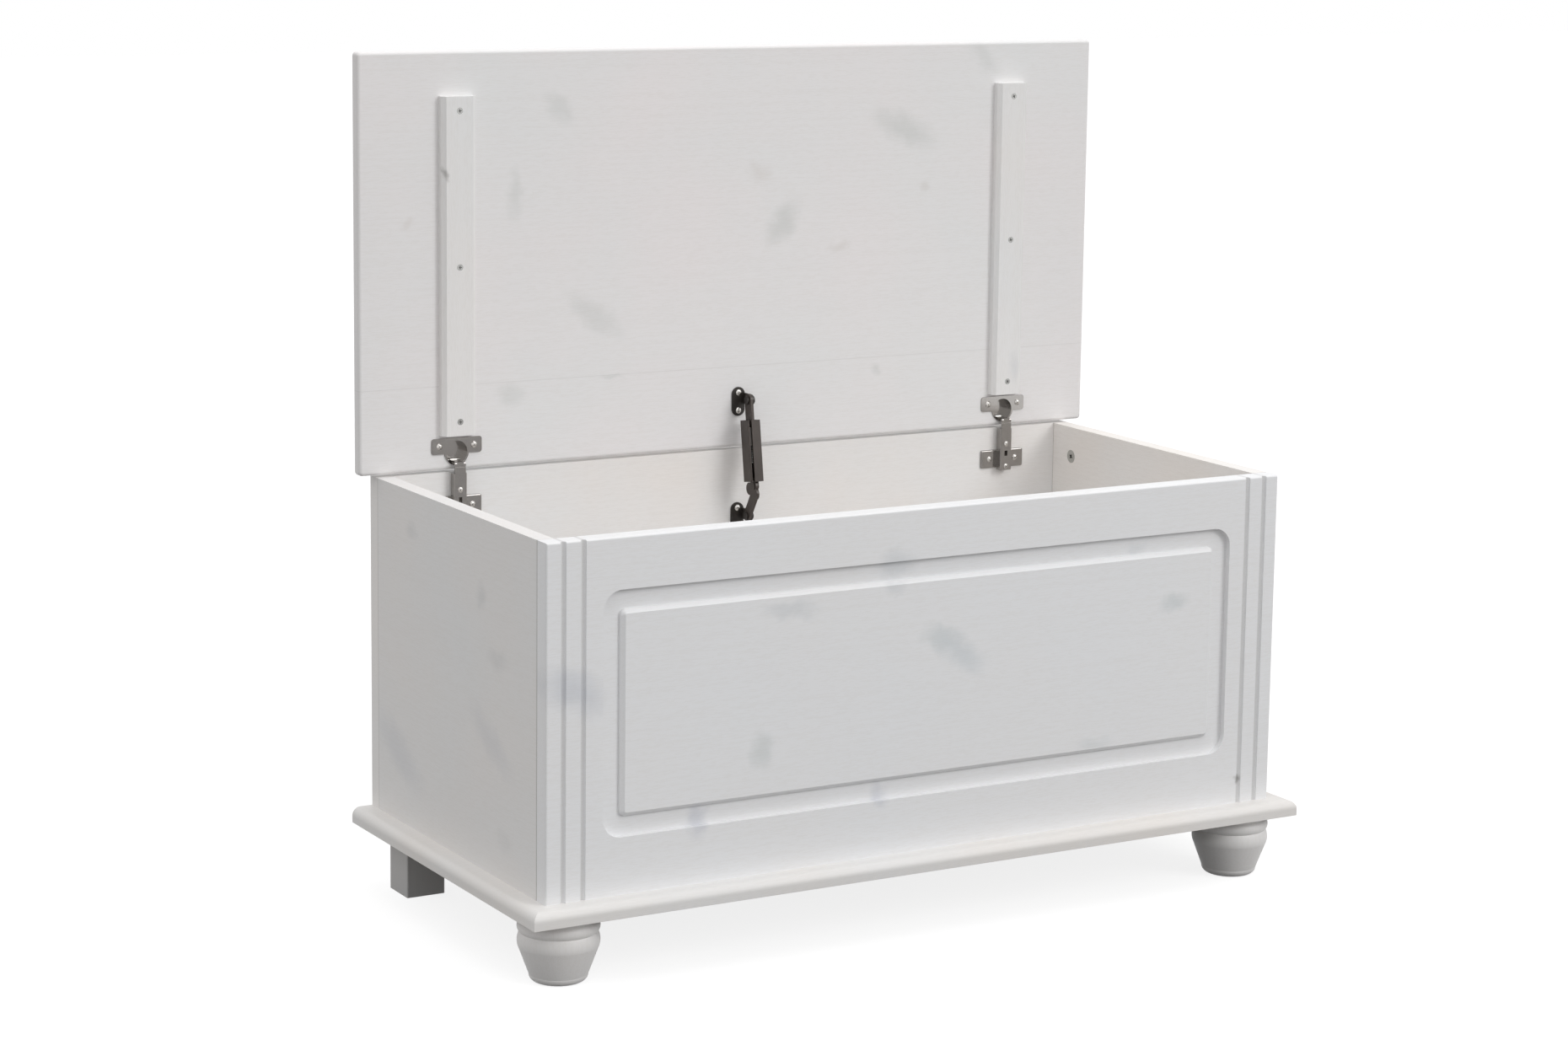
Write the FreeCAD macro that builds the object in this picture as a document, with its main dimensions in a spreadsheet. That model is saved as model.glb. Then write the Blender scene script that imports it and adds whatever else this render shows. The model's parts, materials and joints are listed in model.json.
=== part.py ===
# Blanket chest in white-glazed pine with its lid standing open.
# Frame: origin on the floor under the middle of the chest, +Z up, front towards -Y, +X to the right.
import FreeCAD, Part
import math
import os
import Sketcher

doc = FreeCAD.newDocument("BlanketChest")
sheet = doc.addObject("Spreadsheet::Sheet", "Sizes")


# Sizes that carry both their number and the sheet formula that gives it
class Size:
    def __init__(self, number, text):
        self.number = number
        self.text = text

    def __add__(self, other):
        return combine(self, "+", other, self.number + number_of(other))

    def __sub__(self, other):
        return combine(self, "-", other, self.number - number_of(other))

    def __mul__(self, other):
        return combine(self, "*", other, self.number * number_of(other))

    def __truediv__(self, other):
        return combine(self, "/", other, self.number / number_of(other))

    def __neg__(self):
        return self * -1

    __radd__ = __add__
    __rmul__ = __mul__


def number_of(value):
    return value.number if isinstance(value, Size) else float(value)


def text_of(value):
    return value.text if isinstance(value, Size) else "(%s)" % repr(float(value))


def combine(left, sign, right, number):
    return Size(number, "(%s %s %s)" % (text_of(left), sign, text_of(right)))


def sine(angle):
    return Size(math.sin(math.radians(angle.number)), "sin(%s)" % angle.text)


def cosine(angle):
    return Size(math.cos(math.radians(angle.number)), "cos(%s)" % angle.text)


def length_of(across, up):
    square = across * across + up * up
    return Size(math.sqrt(square.number), "sqrt(%s)" % square.text)


def lean_of(across, up):
    return Size(math.degrees(math.atan2(across.number, up.number)), "atan2(%s; %s)" % (across.text, up.text))


sheet_rows = []


def size(alias, number):
    sheet_rows.append(alias)
    row = len(sheet_rows)
    sheet.set("A%d" % row, alias)
    sheet.set("B%d" % row, str(number))
    sheet.setAlias("B%d" % row, alias)
    return Size(float(number), "Sizes." + alias)


# Case
body_width = size("body_width", 870)
body_depth = size("body_depth", 418)
wall_height = size("wall_height", 356)
front_board = size("front_board", 20)
side_board = size("side_board", 18)
back_board = size("back_board", 18)
base_thickness = size("base_thickness", 16.5)
base_overhang = size("base_overhang", 23)
base_edge_round = size("base_edge_round", 9)
arris_round = size("arris_round", 2)
joint_round = size("joint_round", 1.2)

# Routing on the front panel
groove_inset = size("groove_inset", 18.5)
groove_pitch = size("groove_pitch", 21.5)
groove_radius = size("groove_radius", 3)
groove_depth = size("groove_depth", 2.6)
channel_side_margin = size("channel_side_margin", 61.5)
channel_top_margin = size("channel_top_margin", 52)
channel_bottom_margin = size("channel_bottom_margin", 58)
channel_width = size("channel_width", 20)
channel_depth = size("channel_depth", 6.5)
field_bevel = size("field_bevel", 4)
field_corner_round = size("field_corner_round", 6)

# Feet
foot_height = size("foot_height", 68.5)
foot_inset = size("foot_inset", 51)
foot_collar_radius = size("foot_collar_radius", 38)
foot_collar_height = size("foot_collar_height", 6.5)
foot_bead_height = size("foot_bead_height", 12)
foot_bead_round = size("foot_bead_round", 8)
foot_groove_radius = size("foot_groove_radius", 38.6)
foot_shoulder_height = size("foot_shoulder_height", 14)
foot_shoulder_round = size("foot_shoulder_round", 18)
foot_waist_radius = size("foot_waist_radius", 40.2)
foot_ankle_radius = size("foot_ankle_radius", 29.5)
foot_bottom_round = size("foot_bottom_round", 7.5)
block_width = size("block_width", 43)
block_depth = size("block_depth", 45)
block_side_inset = size("block_side_inset", 31)
block_back_inset = size("block_back_inset", 28)
block_chamfer = size("block_chamfer", 1)

# Lid
lid_board = size("lid_board", 15)
lid_side_overhang = size("lid_side_overhang", 20)
lid_front_overhang = size("lid_front_overhang", 23)
lid_gap = size("lid_gap", 2.5)
lid_edge_round = size("lid_edge_round", 3.6)
lid_corner_round = size("lid_corner_round", 4.2)
batten_width = size("batten_width", 39)
batten_thickness = size("batten_thickness", 10.5)
batten_hinge_gap = size("batten_hinge_gap", 3)
batten_front_margin = size("batten_front_margin", 47)
batten_chamfer = size("batten_chamfer", 4.2)
fitting_inset = size("fitting_inset", 90.5)

# Corner joints
fastener_fit = size("fastener_fit", 0.1)
cam_radius = size("cam_radius", 7.5)
cam_height = size("cam_height", 12.5)
cam_setback = size("cam_setback", 37)
cam_edge_inset = size("cam_edge_inset", 34)
cam_bolt_radius = size("cam_bolt_radius", 3)
cam_thread_radius = size("cam_thread_radius", 2.5)
cam_thread_length = size("cam_thread_length", 11)
dowel_radius = size("dowel_radius", 4)
dowel_in_side = size("dowel_in_side", 25)
dowel_in_face = size("dowel_in_face", 10)
dowel_edge_inset = size("dowel_edge_inset", 92)

# Screws
case_head_radius = size("case_head_radius", 4)
case_head_height = size("case_head_height", 2.4)
case_shank_radius = size("case_shank_radius", 2)
case_screw_length = size("case_screw_length", 45)
base_screw_spacing = size("base_screw_spacing", 300)
side_screw_spacing = size("side_screw_spacing", 200)
block_screw_spacing = size("block_screw_spacing", 20)
foot_head_radius = size("foot_head_radius", 5)
foot_shank_radius = size("foot_shank_radius", 2.75)
small_head_radius = size("small_head_radius", 3.4)
small_head_height = size("small_head_height", 2)
small_shank_radius = size("small_shank_radius", 1.75)
small_screw_length = size("small_screw_length", 14)
batten_screw_length = size("batten_screw_length", 22)
batten_screw_inset = size("batten_screw_inset", 15)

# Cup hinges
cup_radius = size("cup_radius", 13)
cup_depth = size("cup_depth", 12)
cup_wall = size("cup_wall", 0.7)
cup_edge_margin = size("cup_edge_margin", 5.5)
cup_rim_width = size("cup_rim_width", 1)
wing_width = size("wing_width", 58)
wing_height = size("wing_height", 17)
wing_thickness = size("wing_thickness", 1.2)
wing_rear_margin = size("wing_rear_margin", 17)
wing_corner_round = size("wing_corner_round", 3)
wing_screw_spacing = size("wing_screw_spacing", 40)
hinge_pin_radius = size("hinge_pin_radius", 1)
hinge_pin_floor = size("hinge_pin_floor", 3)
hinge_pin_wall_gap = size("hinge_pin_wall_gap", 2.8)
hinge_pin_length = size("hinge_pin_length", 15)
pin_running_fit = size("pin_running_fit", 0.05)
knuckle_radius = size("knuckle_radius", 1.9)
neck_thickness = size("neck_thickness", 2)
neck_width = size("neck_width", 7.6)
bend_width = size("bend_width", 12.4)
bend_round = size("bend_round", 1.8)
lip_rise = size("lip_rise", 6)
lip_gap = size("lip_gap", 1)
arm_width = size("arm_width", 15)
arm_wall = size("arm_wall", 1.2)
arm_fold_round = size("arm_fold_round", 1)
arm_reach = size("arm_reach", 10.6)
arm_top_drop = size("arm_top_drop", 0.5)
arm_bottom_drop = size("arm_bottom_drop", 48.5)
arm_slot_drop = size("arm_slot_drop", 29)
arm_slot_length = size("arm_slot_length", 6)
arm_screw_drop_upper = size("arm_screw_drop_upper", 18)
arm_screw_drop_lower = size("arm_screw_drop_lower", 44)
arm_screw_radius = size("arm_screw_radius", 2)
arm_screw_head_radius = size("arm_screw_head_radius", 3)
arm_screw_head_height = size("arm_screw_head_height", 1.6)
plate_width = size("plate_width", 57)
plate_wing_height = size("plate_wing_height", 21)
plate_thickness = size("plate_thickness", 2.5)
plate_corner_round = size("plate_corner_round", 2)
plate_face_round = size("plate_face_round", 1.5)
plate_core_play = size("plate_core_play", 0.8)
plate_core_headroom = size("plate_core_headroom", 10)
plate_drop = size("plate_drop", 36)
plate_screw_spacing = size("plate_screw_spacing", 35)

# Lid stay
stay_x = size("stay_x", -0.5)
stay_sheet = size("stay_sheet", 3)
stay_gap = size("stay_gap", 0.3)
bracket_plate_width = size("bracket_plate_width", 15.6)
bracket_plate_height = size("bracket_plate_height", 32)
bracket_sheet = size("bracket_sheet", 2)
bracket_pivot_rise = size("bracket_pivot_rise", 3.5)
bracket_ear_radius = size("bracket_ear_radius", 6)
bracket_screw_spacing = size("bracket_screw_spacing", 20)
pivot_stand_off = size("pivot_stand_off", 18)
lid_pivot_height = size("lid_pivot_height", 54)
case_pivot_drop = size("case_pivot_drop", 72.5)
lower_arm_length = size("lower_arm_length", 38)
lower_arm_lean = size("lower_arm_lean", 21.5)
lower_arm_width = size("lower_arm_width", 12)
cam_lobe_reach = size("cam_lobe_reach", 9.1)
cam_lobe_radius = size("cam_lobe_radius", 7)
cam_lobe_fall = size("cam_lobe_fall", 27.8)
elbow_forward = size("elbow_forward", 5.3)
elbow_drop = size("elbow_drop", 6.8)
elbow_radius = size("elbow_radius", 7)
rivet_radius = size("rivet_radius", 2.5)
rivet_head_radius = size("rivet_head_radius", 4.5)
rivet_head_height = size("rivet_head_height", 1.5)
knee_rivet_head_height = size("knee_rivet_head_height", 0.4)
eye_slot_side_play = size("eye_slot_side_play", 0.4)
eye_slot_travel = size("eye_slot_travel", 1.2)
sleeve_width = size("sleeve_width", 15.6)
sleeve_depth = size("sleeve_depth", 18)
sleeve_wall = size("sleeve_wall", 1.5)
sleeve_slot = size("sleeve_slot", 3)
sleeve_bottom = size("sleeve_bottom", 5)
sleeve_top_below_eye = size("sleeve_top_below_eye", 22)
sleeve_edge_round = size("sleeve_edge_round", 1.2)
tongue_radius = size("tongue_radius", 5)
window_clearance = size("window_clearance", 4)
window_side_play = size("window_side_play", 0.6)
sleeve_play = size("sleeve_play", 0.5)
guide_length = size("guide_length", 20)
guide_play = size("guide_play", 0.15)
spring_seat_radius = size("spring_seat_radius", 1.5)
spring_length = size("spring_length", 20)
spring_radius = size("spring_radius", 5)
spring_wire = size("spring_wire", 1.2)
doc.recompute()

# Planes and places worked out from the sizes
nothing = Size(0.0, "0")
half_width = body_width / 2
front_y = (base_overhang - body_depth) / 2
back_y = (base_overhang + body_depth) / 2
front_inner_y = front_y + front_board
back_inner_y = back_y - back_board
side_inner_x = half_width - side_board
wall_z = foot_height + base_thickness
rim_z = wall_z + wall_height
lid_z = rim_z + lid_gap
lid_width = body_width + 2 * lid_side_overhang
lid_depth = body_depth + lid_front_overhang
lid_y = back_inner_y
cup_z = lid_z + cup_edge_margin + cup_radius
cup_bore_radius = cup_radius - cup_wall
axis_y = lid_y + cup_depth - hinge_pin_floor
axis_z = cup_z - cup_bore_radius + hinge_pin_wall_gap
fitting_x = half_width - fitting_inset
left_right = (("left", -1), ("right", 1))
tolerance = 1e-4

# Directions that holes and fasteners point in
along_x = (1, 0, 0)
along_y = (0, 1, 0)
along_z = (0, 0, 1)
towards_front = (0, -1, 0)
downwards = (0, 0, -1)

parts = []


# Small tools of the modeller's bench
def bind(thing, name, value):
    thing.setExpression(name, text_of(value))


def add(kind, name):
    return doc.addObject(kind, name)


def aim(thing, at, toward=along_z):
    turn = FreeCAD.Rotation(FreeCAD.Vector(0, 0, 1), FreeCAD.Vector(*toward))
    thing.Placement = FreeCAD.Placement(FreeCAD.Vector(), turn)
    for letter, value in zip("xyz", at):
        bind(thing, "Placement.Base." + letter, value)


def lean_back(thing, at, angle, turned_about=(-1, 0, 0)):
    start = FreeCAD.Rotation(FreeCAD.Vector(*turned_about), angle.number)
    thing.Placement = FreeCAD.Placement(FreeCAD.Vector(), start)
    for letter, value in zip("xyz", at):
        bind(thing, "Placement.Base." + letter, value)
    bind(thing, "Placement.Rotation.Angle", angle)


def moved(at, toward, distance):
    return tuple(value + distance * step if step else value for value, step in zip(at, toward))


def box(name, low, extent):
    thing = add("Part::Box", name)
    for side, value in zip(("Length", "Width", "Height"), extent):
        bind(thing, side, value)
    aim(thing, low)
    return thing


def rod(name, at, toward, radius, length):
    thing = add("Part::Cylinder", name)
    bind(thing, "Radius", radius)
    bind(thing, "Height", length)
    aim(thing, at, toward)
    return thing


def cone(name, at, toward, start_radius, end_radius, length):
    thing = add("Part::Cone", name)
    bind(thing, "Radius1", start_radius)
    bind(thing, "Radius2", end_radius)
    bind(thing, "Height", length)
    aim(thing, at, toward)
    return thing


def fuse(name, things):
    joined = add("Part::MultiFuse", name)
    joined.Shapes = things
    joined.Refine = True
    return joined


def group(name, things):
    gathered = add("Part::Compound", name)
    gathered.Links = things
    return gathered


def cut(name, base, tools):
    result = add("Part::Cut", name)
    result.Base = base
    result.Tool = tools[0] if len(tools) == 1 else group(name + "_holes", tools)
    return result


def ring(name, at, toward, outer_radius, inner_radius, length):
    hollow = rod(name + "_hollow", at, toward, inner_radius, length)
    return cut(name, rod(name + "_outside", at, toward, outer_radius, length), [hollow])


def node(thing, label):
    thing.Label = label
    parts.append(thing)
    return thing


# Sketches whose corners and radii are tied to the sheet
def origin_plane(body, role):
    return next(plane for plane in body.Origin.OriginFeatures if plane.Role == role)


def new_sketch(body, role, name):
    sketch = body.newObject("Sketcher::SketchObject", name)
    sketch.AttachmentSupport = (origin_plane(body, role), [""])
    sketch.MapMode = "FlatFace"
    return sketch


def pin_point(sketch, curve, end, across, up):
    for kind, axis, value in (("DistanceX", -2, across), ("DistanceY", -1, up)):
        if abs(number_of(value)) < tolerance:
            sketch.addConstraint(Sketcher.Constraint("PointOnObject", curve, end, axis))
        else:
            spot = sketch.addConstraint(Sketcher.Constraint(kind, -1, 1, curve, end, number_of(value)))
            bind(sketch, "Constraints[%d]" % spot, value)


def flat_point(spot):
    return FreeCAD.Vector(number_of(spot[0]), number_of(spot[1]), 0)


def arc_between(start, end, radius):
    # The shorter arc from start to end that turns left
    first = flat_point(start)
    last = flat_point(end)
    chord = last - first
    rise = math.sqrt(number_of(radius) ** 2 - chord.Length ** 2 / 4)
    outward = FreeCAD.Vector(chord.y, -chord.x, 0).normalize()
    middle = (first + last) / 2 + outward * (number_of(radius) - rise)
    return Part.Arc(first, middle, last)


def draw_outline(sketch, corners):
    # Each corner is (across, up), or (across, up, radius) where an arc leads to the next corner
    first_curve = sketch.GeometryCount
    count = len(corners)
    for index, corner in enumerate(corners):
        following = corners[(index + 1) % count]
        if len(corner) == 2:
            sketch.addGeometry(Part.LineSegment(flat_point(corner), flat_point(following)), False)
        else:
            sketch.addGeometry(arc_between(corner, following, corner[2]), False)
    for index, corner in enumerate(corners):
        curve = first_curve + index
        following = first_curve + (index + 1) % count
        sketch.addConstraint(Sketcher.Constraint("Coincident", curve, 2, following, 1))
        pin_point(sketch, curve, 1, corner[0], corner[1])
        if len(corner) == 3:
            tie_radius(sketch, curve, corner[2])


def tie_radius(sketch, curve, radius):
    spot = sketch.addConstraint(Sketcher.Constraint("Radius", curve, number_of(radius)))
    bind(sketch, "Constraints[%d]" % spot, radius)


def rectangle(low_across, low_up, high_across, high_up):
    return [(low_across, low_up), (high_across, low_up), (high_across, high_up), (low_across, high_up)]


def rounded_rectangle(low_across, low_up, high_across, high_up, radius):
    return [
        (low_across + radius, low_up),
        (high_across - radius, low_up, radius),
        (high_across, low_up + radius),
        (high_across, high_up - radius, radius),
        (high_across - radius, high_up),
        (low_across + radius, high_up, radius),
        (low_across, high_up - radius),
        (low_across, low_up + radius, radius),
    ]


def pad(body, sketch, name, thickness, backwards=False):
    feature = body.newObject("PartDesign::Pad", name)
    feature.Profile = sketch
    bind(feature, "Length", thickness)
    feature.Reversed = backwards
    doc.recompute()
    return feature


def pocket(body, sketch, name, depth, backwards=False):
    before = body.Shape.Volume
    feature = body.newObject("PartDesign::Pocket", name)
    feature.Profile = sketch
    bind(feature, "Length", depth)
    feature.Reversed = backwards
    doc.recompute()
    if feature.Shape.Volume > before - tolerance:
        raise ValueError(name + " cuts nothing")
    return feature


def dress_edges(body, base, kind, name, chosen, amount):
    names = ["Edge%d" % (spot + 1) for spot, edge in enumerate(base.Shape.Edges) if chosen(edge)]
    if not names:
        raise ValueError(name + " finds no edge")
    feature = body.newObject(kind, name)
    feature.Base = (base, names)
    bind(feature, "Radius" if kind.endswith("Fillet") else "Size", amount)
    doc.recompute()
    return feature


def ends_of(edge):
    return [vertex.Point for vertex in edge.Vertexes]


def near(value, target):
    return abs(value - number_of(target)) < tolerance


def runs_along(edge, letter):
    first, last = ends_of(edge)
    return all(near(getattr(first, other), getattr(last, other)) for other in "xyz".replace(letter, ""))


def soften(name, base, radius, chosen):
    doc.recompute()
    feature = add("Part::Fillet", name)
    feature.Base = base
    amount = radius.number
    feature.Edges = [(spot + 1, amount, amount) for spot, edge in enumerate(base.Shape.Edges) if chosen(edge)]
    return feature


def soften_face(name, base, radius, face_y):
    return soften(name, base, radius, lambda edge: all(near(spot.y, face_y) for spot in ends_of(edge)))


# Screws and bores
def flush_screw(name, at, toward, head_radius, head_height, shank_radius, length):
    head = cone(name + "_head", at, toward, head_radius, shank_radius, head_height)
    shank = rod(name + "_shank", at, toward, shank_radius, length)
    return fuse(name, [head, shank])


def raised_screw(name, at, toward, head_radius, head_height, shank_radius, length):
    away = tuple(-step for step in toward)
    top_radius = head_radius - head_height / 2
    head = cone(name + "_head", at, away, head_radius, top_radius, head_height)
    shank = rod(name + "_shank", at, toward, shank_radius, length)
    return fuse(name, [head, shank])


def flush_hole(name, at, toward, head_radius, head_height, shank_radius, length):
    return flush_screw(name, at, toward, head_radius + fastener_fit, head_height,
                       shank_radius + fastener_fit, length)


def bore(name, at, toward, radius, length):
    return rod(name, at, toward, radius + fastener_fit, length + fastener_fit)


# Corner joints: cam locks in the side panels, their bolts in the front and back panels, and dowels
cam_locks = []
cam_bolts = []
dowels = []
side_holes = {"left": [], "right": []}
face_holes = {"front": [], "back": []}
corner_heights = (("low", wall_z + cam_edge_inset), ("high", rim_z - cam_edge_inset))
dowel_heights = (("low", wall_z + dowel_edge_inset), ("high", rim_z - dowel_edge_inset))
faces = (("front", front_inner_y, along_y), ("back", back_inner_y, towards_front))
for side, sign in left_right:
    inward = (-sign, 0, 0)
    middle_x = (half_width - side_board / 2) * sign
    for face, face_y, into_side in faces:
        into_face = tuple(-step for step in into_side)
        for level, height in corner_heights:
            name = "cam_%s_%s_%s" % (side, face, level)
            seam = (middle_x, face_y, height)
            cam_middle = moved((side_inner_x * sign, face_y, height), into_side, cam_setback)
            cam_floor = moved(cam_middle, inward, -cam_height)
            bolt = fuse(name + "_bolt", [
                rod(name + "_thread", moved(seam, into_face, cam_thread_length), into_side,
                    cam_thread_radius, cam_thread_length + cam_bolt_radius),
                rod(name + "_shank", seam, into_side, cam_bolt_radius, cam_setback),
            ])
            cam_bolts.append(bolt)
            mouth = bore(name + "_mouth", seam, into_side, cam_bolt_radius, cam_setback)
            cam_locks.append(cut(name, rod(name + "_disc", cam_floor, inward, cam_radius, cam_height), [mouth]))
            side_holes[side].append(fuse(name + "_pocket", [
                rod(name + "_seat", cam_floor, inward, cam_radius + fastener_fit, cam_height),
                bore(name + "_way", seam, into_side, cam_bolt_radius, cam_setback),
            ]))
            face_holes[face].append(bore(name + "_thread_hole", seam, into_face, cam_thread_radius,
                                         cam_thread_length))
        for level, height in dowel_heights:
            name = "dowel_%s_%s_%s" % (side, face, level)
            seam = (middle_x, face_y, height)
            start = moved(seam, into_face, dowel_in_face)
            dowels.append(rod(name, start, into_side, dowel_radius, dowel_in_face + dowel_in_side))
            side_holes[side].append(bore(name + "_side_hole", seam, into_side, dowel_radius, dowel_in_side))
            face_holes[face].append(bore(name + "_face_hole", seam, into_face, dowel_radius, dowel_in_face))
node(group("cam_locks", cam_locks), "cam_locks")
node(group("cam_bolts", cam_bolts), "cam_bolts")
node(group("corner_dowels", dowels), "corner_dowels")

# Screws up through the base board into the bottom edges of the four walls
base_screws = []
base_holes = []
wall_screw_places = []
for sign in (-1, 0, 1):
    across = base_screw_spacing * sign
    wall_screw_places.append((across, front_y + front_board / 2, face_holes["front"]))
    wall_screw_places.append((across, back_y - back_board / 2, face_holes["back"]))
for side, sign in left_right:
    for step in (-1, 1):
        across = (half_width - side_board / 2) * sign
        wall_screw_places.append((across, side_screw_spacing * step / 2, side_holes[side]))
for index, (across, along, wall_holes) in enumerate(wall_screw_places):
    name = "base_screw_%d" % index
    start = (across, along, foot_height)
    shape = (case_head_radius, case_head_height, case_shank_radius, case_screw_length)
    base_screws.append(flush_screw(name, start, along_z, *shape))
    base_holes.append(flush_hole(name + "_hole", start, along_z, *shape))
    in_wall = case_screw_length - base_thickness
    wall_holes.append(bore(name + "_pilot", (across, along, wall_z), along_z, case_shank_radius, in_wall))
node(group("base_screws", base_screws), "base_screws")

# Turned bun feet at the front, held by a screw from inside the chest
foot_x = half_width + base_overhang - foot_inset
foot_y = front_y - base_overhang + foot_inset
foot_screws = []
foot_collar_z = foot_height - foot_collar_height
foot_groove_z = foot_collar_z - foot_bead_height
foot_waist_z = foot_groove_z - foot_shoulder_height
for side, sign in left_right:
    name = "front_%s_foot" % side
    centre = (foot_x * sign, foot_y)
    body = add("PartDesign::Body", name + "_turned")
    sketch = new_sketch(body, "XZ_Plane", name + "_profile")
    draw_outline(sketch, [
        (nothing, nothing),
        (foot_ankle_radius - foot_bottom_round, nothing, foot_bottom_round),
        (foot_ankle_radius, foot_bottom_round),
        (foot_waist_radius, foot_waist_z, foot_shoulder_round),
        (foot_groove_radius, foot_groove_z, foot_bead_round),
        (foot_collar_radius, foot_collar_z),
        (foot_collar_radius, foot_height),
        (nothing, foot_height),
    ])
    turned = body.newObject("PartDesign::Revolution", name + "_turning")
    turned.Profile = sketch
    turned.ReferenceAxis = (sketch, ["V_Axis"])
    turned.Angle = 360
    aim(body, centre + (nothing,))
    doc.recompute()
    start = centre + (wall_z,)
    shape = (foot_head_radius, case_head_height, foot_shank_radius, case_screw_length)
    foot_screws.append(flush_screw(name + "_screw", start, downwards, *shape))
    base_holes.append(flush_hole(name + "_screw_hole", start, downwards, *shape))
    in_foot = case_screw_length - base_thickness
    pilot = bore(name + "_pilot", centre + (foot_height,), downwards, foot_shank_radius, in_foot)
    node(cut(name, body, [pilot]), name)
node(group("front_foot_screws", foot_screws), "front_foot_screws")

# Plain square blocks at the rear, each held by two screws from inside the chest
block_screws = []
block_low_x = half_width + base_overhang - block_side_inset - block_width
block_low_y = back_y - block_back_inset - block_depth
for side, sign in left_right:
    name = "rear_%s_block" % side
    low_x = block_low_x if sign > 0 else -block_low_x - block_width
    body = add("PartDesign::Body", name + "_sawn")
    sketch = new_sketch(body, "XY_Plane", name + "_section")
    draw_outline(sketch, rectangle(nothing, nothing, block_width, block_depth))
    sawn = pad(body, sketch, name + "_length", foot_height)
    dress_edges(body, sawn, "PartDesign::Chamfer", name + "_arris",
                lambda edge: runs_along(edge, "z"), block_chamfer)
    aim(body, (low_x, block_low_y, nothing))
    pilots = []
    for step in (-1, 1):
        label = "%s_screw_%d" % (name, step)
        spot = (low_x + block_width / 2, block_low_y + block_depth / 2 + block_screw_spacing * step / 2)
        start = spot + (wall_z,)
        shape = (case_head_radius, case_head_height, case_shank_radius, case_screw_length)
        block_screws.append(flush_screw(label, start, downwards, *shape))
        base_holes.append(flush_hole(label + "_hole", start, downwards, *shape))
        in_block = case_screw_length - base_thickness
        pilots.append(bore(label + "_pilot", spot + (foot_height,), downwards, case_shank_radius, in_block))
    node(cut(name, body, pilots), name)
node(group("rear_block_screws", block_screws), "rear_block_screws")

# Base board with a rounded top edge at the front and both ends
body = add("PartDesign::Body", "base_board_planed")
sketch = new_sketch(body, "XY_Plane", "base_board_outline")
base_half = half_width + base_overhang
base_front = front_y - base_overhang
draw_outline(sketch, rectangle(-base_half, base_front, base_half, back_y))
planed = pad(body, sketch, "base_board_thickness", base_thickness)


def is_moulded(edge):
    first, last = ends_of(edge)
    on_top = near(first.z, base_thickness) and near(last.z, base_thickness)
    return on_top and not (near(first.y, back_y) and near(last.y, back_y))


dress_edges(body, planed, "PartDesign::Fillet", "base_board_moulding", is_moulded, base_edge_round)
aim(body, (nothing, nothing, foot_height))
node(cut("base_board", body, base_holes), "base_board")

# Front panel with its end grooves and the routed channel round a raised field
body = add("PartDesign::Body", "front_panel_routed")
sketch = new_sketch(body, "XZ_Plane", "front_panel_outline")
draw_outline(sketch, rectangle(-half_width, nothing, half_width, wall_height))
planed = pad(body, sketch, "front_panel_thickness", front_board, backwards=True)


def is_front_arris(edge):
    first, last = ends_of(edge)
    at_front = near(first.y, 0) and near(last.y, 0)
    return at_front and not (near(first.z, 0) and near(last.z, 0))


def is_joint_arris(edge):
    return runs_along(edge, "z") and near(ends_of(edge)[0].y, front_board)


eased = dress_edges(body, planed, "PartDesign::Fillet", "front_panel_arris", is_front_arris, arris_round)
dress_edges(body, eased, "PartDesign::Fillet", "front_panel_joint_arris", is_joint_arris, joint_round)
channel_half = half_width - channel_side_margin
channel_high = wall_height - channel_top_margin
field_half = channel_half - channel_width
field_low = channel_bottom_margin + channel_width
field_high = channel_high - channel_width
sketch = new_sketch(body, "XZ_Plane", "front_panel_channel_outline")
draw_outline(sketch, rounded_rectangle(-channel_half, channel_bottom_margin, channel_half, channel_high,
                                       channel_width))
draw_outline(sketch, rounded_rectangle(-field_half, field_low, field_half, field_high, field_corner_round))
routed = pocket(body, sketch, "front_panel_channel", channel_depth)


def is_field_edge(edge):
    corners = ends_of(edge)
    within = all(abs(corner.x) < number_of(field_half) + tolerance for corner in corners)
    above = all(corner.z > number_of(field_low) - tolerance for corner in corners)
    below = all(corner.z < number_of(field_high) + tolerance for corner in corners)
    return within and above and below and all(near(corner.y, 0) for corner in corners)


dress_edges(body, routed, "PartDesign::Chamfer", "front_panel_field_bevel", is_field_edge, field_bevel)
sketch = new_sketch(body, "XY_Plane", "front_panel_groove_section")
for sign in (-1, 1):
    for step in (0, 1):
        groove_x = (half_width - groove_inset - groove_pitch * step) * sign
        groove_y = groove_depth - groove_radius
        middle = FreeCAD.Vector(number_of(groove_x), number_of(groove_y), 0)
        circle = sketch.addGeometry(Part.Circle(middle, FreeCAD.Vector(0, 0, 1), groove_radius.number), False)
        pin_point(sketch, circle, 3, groove_x, groove_y)
        tie_radius(sketch, circle, groove_radius)
pocket(body, sketch, "front_panel_grooves", wall_height, backwards=True)
aim(body, (nothing, front_y, wall_z))
node(cut("front_panel", body, face_holes["front"]), "front_panel")

# Side panels between the front and back panels, eased where they meet the front panel
def is_joint_edge(edge, outer_x):
    return all(near(spot.x, outer_x) and near(spot.y, front_inner_y) for spot in ends_of(edge))


for side, sign in left_right:
    name = side + "_side_panel"
    low_x = side_inner_x if sign > 0 else -half_width
    board = box(name + "_board", (low_x, front_inner_y, wall_z),
                (side_board, back_inner_y - front_inner_y, wall_height))
    board = soften(name + "_joint_arris", board, joint_round,
                   lambda edge: is_joint_edge(edge, half_width * sign))
    node(cut(name, board, side_holes[side]), name)

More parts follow.
